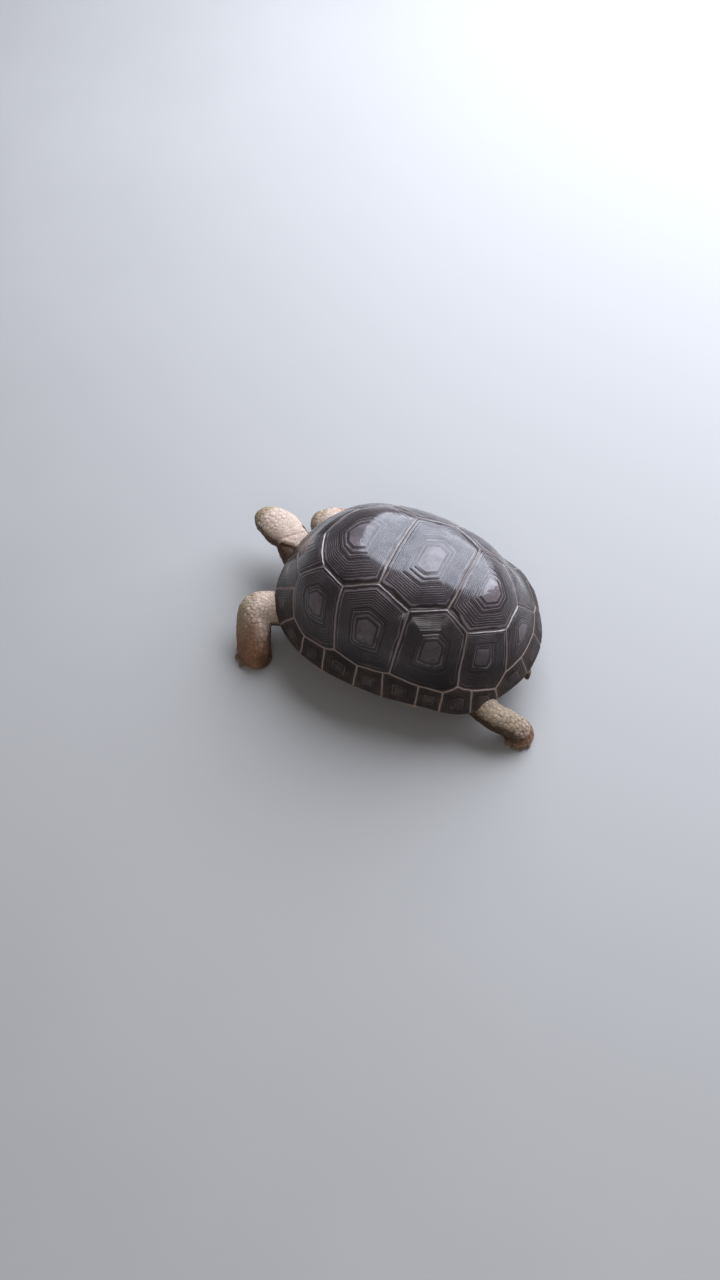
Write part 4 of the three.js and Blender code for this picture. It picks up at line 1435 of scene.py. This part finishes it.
def bare(points, region):
    """Places with no scales: under the beak, on the eyes and out of sight inside the shell."""
    local = to_head(points)
    y, z = local[:, 1], local[:, 2]
    head = region == HEAD
    upper = (z > MOUTH_Z) & (z < 3 - 0.5 * (y + 60) + 0.4)
    lower = (z < MOUTH_Z) & (y < -49 + 0.25 * (z - MOUTH_Z) - 0.4)
    clear = head & (upper | lower)
    for side in (-1, 1):
        aside, along = eye_offsets(points, side)
        clear |= head & (aside < 7.0) & (along > -1)
        clear |= head & (np.linalg.norm(local - nostril_place(side), axis=1) < 2.1)
    trunk = region == TRUNK
    clear |= trunk & (np.abs(points[:, 1] - CENTRE_Y) < 96)
    clear |= trunk & (points[:, 2] > 74)
    share = shell_at(points[:, 0], points[:, 1])[0]
    clear |= (share < 0.88) & (points[:, 2] > 30) & (np.abs(points[:, 1] - CENTRE_Y) < 118)
    return clear | (points[:, 2] < 0.5)


def lie_of(points, region, u):
    """The direction in which the scales lie back: down each limb, back along the neck and head."""
    lie = np.tile([0.0, 0.0, -1.0], (len(points), 1))
    for k, limb in enumerate(LIMBS.values()):
        here = region == k
        if here.any():
            lie[here] = limb_frame(limb, u[here])[3]
    lie[region == list(LIMBS).index("neck")] *= -1
    lie[region == HEAD] = np.array([0.0, 1.0, 0.0]) @ HEAD_TURN.T
    return lie


# Larger plates on top of the head: sideways, forward and half width, in the head's own frame.
CROWN_PLATES = (
    (0, -36, 5.4), (4.6, -51, 4.4), (-4.6, -51, 4.4), (9.5, -41, 3.8), (-9.5, -41, 3.8), (0, -57.5, 2.6),
    (7.5, -29, 3.6), (-7.5, -29, 3.6), (0, -25, 3.8), (13.5, -33, 3.2), (-13.5, -33, 3.2),
)


def skin_tree(skin):
    """The skin's triangles, to find where a line meets it or which of its points is nearest."""
    return BVHTree.FromPolygons(places(skin).tolist(), triangles(skin).tolist())


def crown_roots(tree):
    """The larger plates' roots on the skin, and the direction each faces."""
    down = np.array([0.0, 0.0, -1.0]) @ HEAD_TURN.T
    spots, facing, radii = [], [], []
    for x, y, radius in CROWN_PLATES:
        start = from_head(np.array([x, y, 60.0]))
        place, normal, _face, _gap = tree.ray_cast(start.tolist(), down.tolist())
        if place is None:
            raise RuntimeError("the head's plates miss the head")
        spots.append(place)
        facing.append(normal)
        radii.append(radius)
    return np.array(spots), np.array(facing), np.array(radii)


def scattered_roots(skin, tree_of_skin, rng, share):
    """Roots for the scales: points of the skin that keep each scale's own distance from one another."""
    corners = triangles(skin)
    points, normals = places(skin), point_normals(skin)
    region, u, angle = locate(points)
    radius = usual_radius(points, region, u, angle) * share
    shut = bare(points, region)
    a, b, c = (points[corners[:, k]] for k in range(3))
    area = np.linalg.norm(np.cross(b - a, c - a), axis=1) / 2
    typical = radius[corners].mean(1)
    weight = np.where(shut[corners].all(1), 0, area / typical**2)
    tries_per_scale = 4.2
    count = int(weight.sum() * tries_per_scale)
    chosen = rng.choice(len(corners), size=count, p=weight / weight.sum())
    first, second = rng.random(count), rng.random(count)
    over = first + second > 1
    first, second = np.where(over, 1 - first, first), np.where(over, 1 - second, second)
    mix = np.stack([1 - first - second, first, second], axis=1)
    spots = (points[corners[chosen]] * mix[:, :, None]).sum(1)
    facing = unit((normals[corners[chosen]] * mix[:, :, None]).sum(1))
    radii = (radius[corners[chosen]] * mix).sum(1) * rng.uniform(0.86, 1.16, count)
    crown = crown_roots(tree_of_skin)
    spots, facing = np.concatenate([crown[0], spots]), np.concatenate([crown[1], facing])
    radii = np.concatenate([crown[2], radii])
    tree = near_tree(spots)
    alive = np.ones(len(spots), bool)
    kept = []
    for i in range(len(spots)):
        if not alive[i]:
            continue
        kept.append(i)
        apart = 0.92 if i >= len(CROWN_PLATES) else 0.8
        for _co, j, gap in tree.find_range(spots[i], radii[i] * 2.4):
            if gap < (radii[i] + radii[j]) * apart:
                alive[j] = False
    kept = np.array(kept)
    kept = kept[~bare(spots[kept], locate(spots[kept])[0])]
    return spots[kept], facing[kept], radii[kept]


def cell_reach(spots, facing, radii, lie, around):
    """How far each scale reaches in each direction before it meets its neighbours."""
    sideways = np.cross(facing, lie)
    tree = near_tree(spots)
    neighbours = 15
    found = np.array([[j for _co, j, _gap in tree.find_n(spot, neighbours + 1)][1:] for spot in spots])
    off = spots[found] - spots[:, None, :]
    gap = np.linalg.norm(off, axis=2)
    bearing = np.arctan2((off * sideways[:, None]).sum(2), (off * lie[:, None]).sum(2))
    halfway = gap / 2 * (1 + (radii[:, None] ** 2 - radii[found] ** 2) / gap**2)
    halfway = np.clip(halfway, 0.3 * gap, 0.7 * gap)
    turn = np.linspace(0, 2 * np.pi, around, endpoint=False)
    facing_it = np.maximum(np.cos(turn[None, :, None] - bearing[:, None, :]), 0) / halfway[:, None, :]
    reach = ((facing_it**9).sum(2) + 1e-12) ** (-1 / 9)
    return turn, np.minimum(reach, radii[:, None] * 1.5), sideways


def unwrapped(region, u, angle):
    """Each root's place on the skin's unwrap, where every region is slit along its length in a tile."""
    tile = np.stack([region % 3, region // 3], axis=1)
    return (tile + 0.04 + 0.92 * np.stack([angle / (2 * np.pi) + 0.5, np.clip(u, 0, 1)], axis=1)) / 3


# Shares of a scale's own size: the gap round it, the lift of its hind edge, its overlap and its height.
RELIEF = {
    "head": {"gap": 0.02, "tilt": 0.0, "overlap": 0.0, "height": 0.075},
    "neck": {"gap": 0.02, "tilt": 0.0, "overlap": 0.0, "height": 0.15},
    "leg_front": {"gap": 0.04, "tilt": 0.14, "overlap": 0.1, "height": 0.14},
    "other": {"gap": 0.05, "tilt": 0.08, "overlap": 0.06, "height": 0.18},
}


def scale_coat(name, tree, spots, facing, radii, located, rng, relief):
    """Joined scales: each a low dome with a steep edge, its hind edge lifted a little over the next."""
    around = 10
    region, u, angle = located
    lie = lie_of(spots, region, u)
    lie = unit(lie - facing * (lie * facing).sum(1)[:, None] + 1e-6)
    turn, reach, sideways = cell_reach(spots, facing, radii, lie, around)
    reach = reach * (1 - relief["gap"]) - 0.05
    tilt = relief["tilt"] * radii[:, None] * np.maximum(np.cos(turn), 0)[None]
    reach = reach * (1 + relief["overlap"] * np.maximum(np.cos(turn), 0)[None])
    way = np.cos(turn)[None, :, None] * lie[:, None] + np.sin(turn)[None, :, None] * sideways[:, None]
    wide = spots[:, None] + way * reach[:, :, None]
    ground = np.array([[tree.find_nearest(p)[0] for p in ring] for ring in wide])
    drop = ((ground - spots[:, None]) * facing[:, None]).sum(2)
    height = relief["height"] * radii[:, None] * rng.uniform(0.8, 1.2, (len(spots), 1))
    rings = []
    for share, rise in ((1.0, -0.28), (0.9, 0.62), (0.52, 0.95)):
        lift = np.where(rise < 0, -0.3 + tilt * 0.8, height * rise + tilt * share)
        lift = lift + (share * share - share) * drop
        rings.append(spots[:, None] + share * (ground - spots[:, None]) + facing[:, None] * lift[:, :, None])
    crest = spots + facing * height
    points = np.concatenate([*rings, crest[:, None]], axis=1)
    size = 3 * around + 1
    face_rows = []
    for k in (0, 1):
        for i in range(around):
            j = (i + 1) % around
            face_rows.append((k * around + i, k * around + j, (k + 1) * around + j, (k + 1) * around + i))
    for i in range(around):
        face_rows.append((2 * around + i, 2 * around + (i + 1) % around, 3 * around))
    face_rows.append(tuple(range(around - 1, -1, -1)))
    lengths = np.tile([len(row) for row in face_rows], len(spots))
    loops = np.concatenate([np.array(row) for row in face_rows])
    loops = (loops[None, :] + (np.arange(len(spots)) * size)[:, None]).ravel()

    mesh = bpy.data.meshes.new(name)
    mesh.vertices.add(len(spots) * size)
    mesh.vertices.foreach_set("co", in_part(points.reshape(-1, 3)).ravel())
    mesh.loops.add(len(loops))
    mesh.loops.foreach_set("vertex_index", loops.astype(np.int32))
    mesh.polygons.add(len(lengths))
    starts = np.concatenate([[0], np.cumsum(lengths)[:-1]])
    mesh.polygons.foreach_set("loop_start", starts.astype(np.int32))
    mesh.update(calc_edges=True)
    mesh.validate()
    piece = bpy.data.objects.new(name, mesh)
    bpy.context.scene.collection.objects.link(piece)

    rise = np.concatenate([np.zeros(around), np.full(around, 0.62), np.full(around, 0.95), [1.0]])
    stamp(piece, "rise", np.tile(rise, len(spots)))
    stamp(piece, "tone", np.repeat(rng.random(len(spots)), size))
    for label, values in zip(MARKS, hide_marks(spots, facing, region, u, angle)):
        stamp(piece, label, np.repeat(values, size))
    root = unwrapped(region, u, angle)
    spread = np.concatenate([np.full(around, 1.0), np.full(around, 0.9), np.full(around, 0.5), [0.0]])
    turns = np.concatenate([turn, turn, turn, [0.0]])
    patch = 0.0015 * spread[:, None] * np.stack([np.cos(turns), np.sin(turns)], axis=1)
    flat = (root[:, None] + patch[None]).reshape(-1, 2)
    layer = mesh.uv_layers.new(name="OFBake")
    layer.data.foreach_set("uv", flat[loops].ravel())
    return piece


class TORTOISE_OT_scales(bpy.types.Operator):
    """Covers the skin with its scales, a piece for each region of the body"""

    bl_idname = "tortoise.scales"
    bl_label = "Scales"

    def execute(self, context):
        settings = context.scene.tortoise_hide
        rng = np.random.default_rng(7)
        skin = bpy.data.objects["skin"]
        tree = skin_tree(skin)
        spots, facing, radii = scattered_roots(skin, tree, rng, settings.scale_size)
        region, u, angle = locate(spots)
        coarse = hide_material("Limb scales", settings, 0.0, 0.55, 0.3)
        fine = hide_material("Head scales", settings, 0.0, 0.32, 0.14)
        for k, name in enumerate(REGIONS):
            here = region == k
            located = (region[here], u[here], angle[here])
            relief = RELIEF.get(name.rsplit("_", 1)[0]) or RELIEF.get(name) or RELIEF["other"]
            roots = (spots[here], facing[here], radii[here])
            coat = scale_coat("scales_" + name, tree, *roots, located, rng, relief)
            slot = "head_skin" if name == "head" else "limb_skin"
            material = fine if name in ("head", "neck") else coarse
            finish_piece(coat, material, slot, smooth_angle=math.radians(50))
        return {"FINISHED"}


# ------------------------------------------------------------------ beak, eyes and claws


def horn_of_beak(name, settings):
    """Smooth brown horn, streaked along its growth and paler at its worn edge."""
    material, nodes, shader = new_material(name, 0.26, coat=0.05, coat_roughness=0.35, subsurface=0.08)
    coords = nodes.coords()
    wear = nodes.read("wear")
    along = nodes.read("along")
    broad = nodes.noise(coords, 120.0, detail=4.0, distortion=0.6)
    across = nodes.add("ShaderNodeCombineXYZ", {0: nodes.times(along, 5.0), 1: broad})
    streaks = nodes.noise(across[0], 6.0, detail=3.0)
    fine = nodes.noise(coords, 1400.0, detail=2.0)
    base = np.array(settings.horn)
    colour = nodes.mix(nodes.ramp(broad, 0.35, 0.65), rgba(base * 0.5), rgba(base))
    colour = nodes.mix(nodes.ramp(streaks, 0.48, 0.7, 0.0, 0.6), colour, rgba(base * [0.4, 0.33, 0.28]))
    colour = nodes.mix(nodes.ramp(wear, 0.45, 1.0, 0.0, 0.3), colour, rgba(base * [1.7, 1.7, 1.7]))
    sockets = {"Coordinates": coords, "Scale": 160.0, "Low edge": 0.0, "High edge": 0.02}
    dust = nodes.use(shared("Settled dust"), sockets)
    colour = nodes.mix(nodes.times(dust["Dust"], 0.6), colour, rgba(settings.dusty))
    nodes.wire(shader, {"Base Color": colour, "Roughness": nodes.ramp(broad, 0.3, 0.7, 0.42, 0.6)})
    height = nodes.plus(streaks, nodes.times(fine, 0.15))
    nodes.bump(shader, height, 0.0002, 0.7)
    return material


def beak_material():
    name = "Beak and claw horn"
    return bpy.data.materials.get(name) or horn_of_beak(name, bpy.context.scene.tortoise_hide)


def sheet(name, across, up, thickness):
    """A grid with its places across and up as shares from 0 to 1, and a function that gives it its wall."""
    deselect()
    bpy.ops.mesh.primitive_grid_add(x_subdivisions=across, y_subdivisions=up, size=1)
    piece = started(name)
    settle(piece)
    at = unit_places(piece) + 0.5

    def close(points):
        lay(piece, points)
        use_modifier(piece, "SOLIDIFY", "wall", thickness=thickness, offset=-1.0, use_even_offset=False)
        use_modifier(piece, "BEVEL", "worn_edge", width=0.0004, segments=2, limit_method="ANGLE")
        face_outwards(piece)

    return piece, at[:, 0], at[:, 1], close


class TORTOISE_OT_beak(bpy.types.Operator):
    """Builds the two horny sheaths of the jaws"""

    bl_idname = "tortoise.beak"
    bl_label = "Beak"

    def execute(self, context):
        piece, across, up, close = sheet("beak_upper_horn", 56, 16, 0.0022)
        round_it = np.radians(96) * (2 * across - 1)
        way = np.stack([np.sin(round_it), -np.cos(round_it), np.zeros(len(up))], axis=1)
        front = bell(round_it, 0.2)
        low = MOUTH_Z - 0.35 - 0.9 * front - 0.5 * bell(np.abs(round_it) - 0.75, 0.22)
        z = np.full(len(up), MOUTH_Z)
        for _ in range(8):
            found, out = on_head(np.stack([z * 0, z * 0 - 46.0, z], axis=1), way)
            z = low + up * np.maximum(-27 - 0.5 * found[:, 1] - low, 1.2)
        lift = 0.15 + 0.25 * smooth((0.25 - up) / 0.25) - 0.5 * smooth((up - 0.8) / 0.2)
        lift = lift + 0.25 * bell(round_it, 0.12) * (1 - up) - 0.35 * smooth((-67.3 - found[:, 1]) / 0.6)
        close(from_head(found + out * lift[:, None]))
        self.mark(piece)
        finish_piece(piece, beak_material(), "beak_horn", "beak_upper", smooth_angle=math.radians(45))

        piece, across, up, close = sheet("beak_lower_horn", 56, 16, 0.002)
        round_it = np.radians(98) * (2 * across - 1)
        dip = np.radians(72) * up
        across_it, ahead = np.sin(round_it) * np.cos(dip), -np.cos(round_it) * np.cos(dip)
        way = np.stack([across_it, ahead, -np.sin(dip)], axis=1)
        origin = np.tile([0.0, -51.0, MOUTH_Z + 0.3], (len(up), 1))
        found, out = on_head(origin, way)
        lift = -0.75 * smooth((0.3 - up) / 0.3) + 0.1 - 0.5 * smooth((up - 0.85) / 0.15)
        close(from_head(found + out * lift[:, None]))
        self.mark(piece)
        finish_piece(piece, beak_material(), "beak_horn", "beak_lower", smooth_angle=math.radians(45))
        return {"FINISHED"}

    @staticmethod
    def mark(piece):
        """The worn edge and the run of the streaks, read off the sheath's places in the head."""
        local = to_head(places(piece))
        stamp(piece, "along", np.arctan2(local[:, 0], -local[:, 1] - 40))
        stamp(piece, "wear", 0.8 * bell(local[:, 2] - MOUTH_Z))


class TORTOISE_OT_eyes(bpy.types.Operator):
    """Builds the eyes and the lids round them"""

    bl_idname = "tortoise.eyes"
    bl_label = "Eyes and lids"

    def execute(self, context):
        settings = context.scene.tortoise_hide
        tree = skin_tree(bpy.data.objects["skin"])
        lids = hide_material("Lids", settings, 0.12, 0.0)
        for side, name in ((1, "left"), (-1, "right")):
            axes = np.array(eye_axis(side)) @ HEAD_TURN.T
            centre = from_head(EYE_PLACE * [side, 1, 1])
            self.eyeball(name, centre, axes)
            self.lid_ring(name, centre, axes, tree, lids)
        return {"FINISHED"}

    def eyeball(self, name, centre, axes):
        deselect()
        bpy.ops.mesh.primitive_uv_sphere_add(segments=48, ring_count=40, radius=1)
        piece = started(f"eye_{name}_ball")
        at = unit_places(piece)
        aside = np.arccos(np.clip(at[:, 2], -1, 1))
        radius = (EYE_RADIUS - 0.45) + 0.4 * smooth((0.85 - aside) / 0.4)
        out, forward, up = axes
        turned = at[:, 2:3] * out + at[:, 0:1] * forward + at[:, 1:2] * up
        lay(piece, centre + turned * radius[:, None])
        stamp(piece, "aside", aside)
        face_outwards(piece)
        finish_piece(piece, self.eye_material(), "eye", f"eye_{name}")

    @staticmethod
    def eye_material():
        if "Eye" in bpy.data.materials:
            return bpy.data.materials["Eye"]
        material, nodes, shader = new_material("Eye", specular=0.35, coat=0.6, coat_roughness=0.03)
        aside = nodes.read("aside")
        coords = nodes.coords()
        fibres = nodes.noise(coords, 900.0, detail=3.0, distortion=1.0)
        iris = nodes.mix(nodes.ramp(fibres, 0.35, 0.65), (0.035, 0.018, 0.009, 1), (0.09, 0.05, 0.026, 1))
        colour = nodes.mix(nodes.ramp(aside, 0.3, 0.36), (0.002, 0.002, 0.002, 1), iris)
        colour = nodes.mix(nodes.ramp(aside, 0.62, 0.72), colour, (0.012, 0.009, 0.008, 1))
        nodes.wire(shader, {"Base Color": colour, "Roughness": nodes.ramp(fibres, 0.2, 0.8, 0.06, 0.12)})
        return material

    @staticmethod
    def lid_ring(name, centre, axes, tree, material):
        """Both lids as one ring: out of the skin, over in a soft roll and back in against the eye."""
        deselect()
        bpy.ops.mesh.primitive_torus_add(
            major_segments=64, minor_segments=18, major_radius=1, minor_radius=0.25
        )
        piece = started(f"lids_{name}")
        at = unit_places(piece)
        turn = np.arctan2(at[:, 1], at[:, 0])
        roll = np.arctan2(at[:, 2], np.hypot(at[:, 0], at[:, 1]) - 1)
        c, s = np.cos(turn), np.sin(turn)
        opening = 1 / np.hypot(c / 4.5, s / np.where(s > 0, 2.9, 3.2))
        reach = 1 / np.hypot(c / 8.0, s / np.where(s > 0, 6.4, 6.9))
        share = (1 + np.cos(roll)) / 2
        out, forward, up = axes
        aside = opening + (reach - opening) * share
        flat = centre + (forward * (c * aside)[:, None]) + (up * (s * aside)[:, None])
        skin_level = np.empty(len(at))
        for i, p in enumerate(flat):
            place, _normal, _face, _gap = tree.ray_cast((p + out * 20).tolist(), (-out).tolist())
            skin_level[i] = 0.0 if place is None else (np.array(place) - centre) @ out
        ball = np.sqrt(np.maximum((EYE_RADIUS - 0.1) ** 2 - aside**2, 0))
        top = np.maximum(ball, skin_level * smooth((aside - 4.6) / 2.2))
        swell = 0.75 * np.sin(np.pi * np.clip(share, 0, 1)) ** 0.7 + 0.16 * np.cos(share * 17)
        above = top + swell - 0.45 * smooth((share - 0.8) / 0.2)
        below = np.minimum(ball - 0.25, top - 0.5) - 0.5 * share
        height = np.where(np.sin(roll) >= -1e-6, above, below)
        lay(piece, flat + out * height[:, None])
        face_outwards(piece)
        points = places(piece)
        stamp_marks(piece, points, point_normals(piece), locate(points))
        finish_piece(piece, material, "head_skin")


class TORTOISE_OT_claws(bpy.types.Operator):
    """Builds the claws, a piece for each foot"""

    bl_idname = "tortoise.claws"
    bl_label = "Claws"

    def execute(self, context):
        for name, limb in LIMBS.items():
            if "toes" not in limb:
                continue
            claws = [self.claw(limb["toes"], outwards) for outwards in toe_directions(limb)]
            piece = joined(name.replace("leg", "claws"), claws)
            finish_piece(piece, beak_material(), "beak_horn")
        return {"FINISHED"}

    @staticmethod
    def claw(toes, outwards):
        """A blunt claw, wider than tall, its tip worn down and its underside flat on the floor."""
        piece, u, angle = tube("claw", 18, 16)
        side = np.cross([0, 0, 1], outwards)
        s = np.sin(u * math.pi / 2)
        reach = toes["reach"] - 6 + 10.4 * s
        wide = 4.6 * np.sqrt(np.clip(1 - (s / 1.004) ** 3.2, 0, 1)) + 0.05
        tall = wide * 0.76
        z = 6.6 - 4.4 * s**1.3 + 0.7 * np.sin(np.pi * s) + tall * np.sin(angle)
        ringed = 1 + 0.02 * np.sin(reach * 3.1)
        place = np.array([*toes["centre"], 0.0]) + outwards * reach[:, None]
        points = place + side * (wide * ringed * np.cos(angle))[:, None]
        points[:, 2] = np.maximum(z, 0.08)
        lay(piece, points)
        stamp(piece, "along", np.cos(angle) * 0.9)
        stamp(piece, "wear", smooth((s - 0.55) / 0.45))
        face_outwards(piece)
        return piece


# ------------------------------------------------------------------ plastron

TRAY_LOWER = ((0, 84, 110, 131), (22, 22, 30, 41.5))
LOBES = np.array([
    (0, -161), (27, -159), (38, -140), (60, -123), (74, -103), (82, -90), (131, -80),
    (131, 66), (84, 74), (76, 96), (64, 120), (46, 142), (35, 154), (0, 139),
], float)
SHIELDS = {
    "gular": (-170, -134), "humeral": (-134, -90), "pectoral": (-90, -54),
    "abdominal": (-54, 74), "femoral": (74, 108), "anal": (108, 170),
}


def under_tray(points, lift):
    """Puts points on the plastron's underside, standing out from it by lift."""
    down = np.interp(np.abs(points[:, 0]), *TRAY_LOWER)
    return np.stack([points[:, 0], points[:, 1], down - lift], axis=1)


def shield_outline(low, high, spacing):
    """The outline of one shield's left half, and which of its points lie on the plastron's free edge."""
    steps = np.linspace(0, 1, 400)
    legs = np.arange(len(LOBES) - 1)
    fine = np.concatenate([LOBES[i] + (LOBES[i + 1] - LOBES[i]) * steps[:, None] for i in legs])
    inside = fine[(fine[:, 1] >= low) & (fine[:, 1] <= high)]
    half = 0.12
    front, rear = max(low, inside[0, 1]) + half, min(high, inside[-1, 1]) - half
    path = np.concatenate([[[half, front]], inside, [[half, rear]]])
    path[:, 0] = np.maximum(path[:, 0], half)
    for i in np.flatnonzero(path[:, 0] > 105):
        x, y = path[i]
        rim = rim_over(x, y)
        room = math.hypot(rim[0], rim[1] - CENTRE_Y) - 5
        share = min(1, room / math.hypot(x, y - CENTRE_Y))
        path[i] = x * share, CENTRE_Y + (y - CENTRE_Y) * share
    path = np.concatenate([path, path[:1]])
    gaps = np.linalg.norm(np.diff(path, axis=0), axis=1)
    run = np.concatenate([[0], np.cumsum(gaps)])
    count = max(16, int(run[-1] / spacing))
    at = np.linspace(0, run[-1], count, endpoint=False)
    points = np.stack([np.interp(at, run, path[:, 0]), np.interp(at, run, path[:, 1])], axis=1)
    x, y = points.T
    free = (x > 2) & (x < 100) & (y > low + 1.5) & (y < high - 1.5) & ((y < -88) | (y > 75))
    return np.column_stack([points, np.zeros(count)]), free


class TORTOISE_OT_plastron(bpy.types.Operator):
    """Builds the six pairs of shields under the body"""

    bl_idname = "tortoise.plastron"
    bl_label = "Shields of the belly"

    def execute(self, context):
        sizes = shell_sizes(context.scene.tortoise_shell, 0.45)
        for name, (low, high) in SHIELDS.items():
            edge, free = shield_outline(low, high, sizes["spacing"] * 1.3)
            edge = under_tray(edge, np.zeros(len(edge)))
            middle = (edge.min(0) + edge.max(0)) / 2
            heart = under_tray(middle[None, :], np.zeros(1))[0]
            left = horn_plate("shield_" + name, edge, free, heart, under_tray, 4, FLAT_CROWN, sizes)
            right = mirrored(left, "other_half")
            piece = joined(f"plastron_{name}_horn", [left, right])
            finish_piece(piece, shell_material("Belly horn"), "plastron_horn", f"plastron_{name}")
        return {"FINISHED"}


# ------------------------------------------------------------------ floor, light and camera


def plain_material(name, colour, roughness):
    material, nodes, shader = new_material(name, specular=0.3)
    coords = nodes.coords()
    cloudy = nodes.noise(coords, 3.0, detail=4.0)
    shade = nodes.mix(nodes.ramp(cloudy, 0.3, 0.7), rgba([c * 0.97 for c in colour]), rgba(colour))
    nodes.wire(shader, {"Base Color": shade})
    nodes.wire(shader, {"Roughness": nodes.ramp(cloudy, 0.3, 0.7, roughness, roughness + 0.1)})
    nodes.bump(shader, nodes.noise(coords, 700.0, detail=2.0), 0.0001, 0.3)
    return material


def soft_light(name, place, aim, size, power, colour):
    """A rectangular light that faces aim."""
    deselect()
    bpy.ops.object.light_add(type="AREA", location=place)
    lamp = bpy.context.object
    lamp.name = name
    lamp.data.shape = "RECTANGLE"
    lamp.data.size, lamp.data.size_y = size
    lamp.data.energy = power
    lamp.data.color = colour
    lamp.visible_camera = False
    lamp.rotation_mode = "QUATERNION"
    lamp.rotation_quaternion = (Vector(aim) - Vector(place)).to_track_quat("-Z", "Y")
    return lamp


class TORTOISE_OT_stage(bpy.types.Operator):
    """Lays the floor and sets the lights and the camera"""

    bl_idname = "tortoise.stage"
    bl_label = "Floor, light and camera"

    def execute(self, context):
        stage = context.scene.tortoise_stage
        deselect()
        bpy.ops.mesh.primitive_plane_add(size=14, location=(0, 0, 0))
        floor = started("floor")
        edit(floor, chosen="SELECT")
        bpy.ops.mesh.subdivide(number_cuts=8)
        leave()
        settle(floor)
        floor.data.materials.append(plain_material("Pale floor", stage.floor_colour, 0.6))

        world = bpy.data.worlds.new("Soft room")
        world.use_nodes = True
        world.node_tree.nodes["Background"].inputs["Color"].default_value = (0.95, 0.96, 1.0, 1)
        world.node_tree.nodes["Background"].inputs["Strength"].default_value = 0.17
        context.scene.world = world

        middle = (0, 0, 0.1)
        soft_light("sky", (-1.745, 0.245, 1.58), middle, (3.3, 2.3), stage.sky_power, (0.84, 0.91, 1.06))
        soft_light("fill", (1.42, 0.62, 1.42), middle, (0.95, 0.5), stage.fill_power, (1.0, 0.95, 0.97))

        deselect()
        bpy.ops.object.camera_add(location=stage.camera_place)
        camera = context.object
        camera.name = "camera"
        camera.rotation_mode = "QUATERNION"
        camera.rotation_quaternion = Vector(stage.camera_aim).to_track_quat("-Z", "Y")
        camera.data.sensor_width = 36
        camera.data.lens = stage.lens
        camera.data.clip_start = 0.01
        context.scene.camera = camera
        context.scene.view_settings.view_transform = "Standard"
        return {"FINISHED"}


# ------------------------------------------------------------------ add-on


class TORTOISE_PT_panel(bpy.types.Panel):
    """Lists the pieces of the tortoise with their settings"""

    bl_label = "Young giant tortoise"
    bl_idname = "TORTOISE_PT_panel"
    bl_space_type = "VIEW_3D"
    bl_region_type = "UI"
    bl_category = "Tortoise"

    def draw(self, context):
        for group in SETTINGS:
            settings = getattr(context.scene, group)
            box = self.layout.box()
            for name in settings.__annotations__:
                box.prop(settings, name)
        for operator in OPERATORS:
            self.layout.operator(operator.bl_idname)


OPERATORS = (
    TORTOISE_OT_stage,
    TORTOISE_OT_vertebrals,
    TORTOISE_OT_costals,
    TORTOISE_OT_rim,
    TORTOISE_OT_skin,
    TORTOISE_OT_scales,
    TORTOISE_OT_beak,
    TORTOISE_OT_eyes,
    TORTOISE_OT_claws,
    TORTOISE_OT_plastron,
)
SETTINGS = {
    "tortoise_shell": ShellSettings,
    "tortoise_hide": HideSettings,
    "tortoise_stage": StageSettings,
}


def register():
    for made in (*SETTINGS.values(), *OPERATORS, TORTOISE_PT_panel):
        bpy.utils.register_class(made)
    for name, group in SETTINGS.items():
        setattr(bpy.types.Scene, name, bpy.props.PointerProperty(type=group))


def unregister():
    for name in SETTINGS:
        delattr(bpy.types.Scene, name)
    for made in (TORTOISE_PT_panel, *reversed(OPERATORS), *SETTINGS.values()):
        bpy.utils.unregister_class(made)


def main():
    register()
    for operator in OPERATORS:
        group, name = operator.bl_idname.split(".")
        getattr(getattr(bpy.ops, group), name)()


if __name__ == "__main__":
    main()
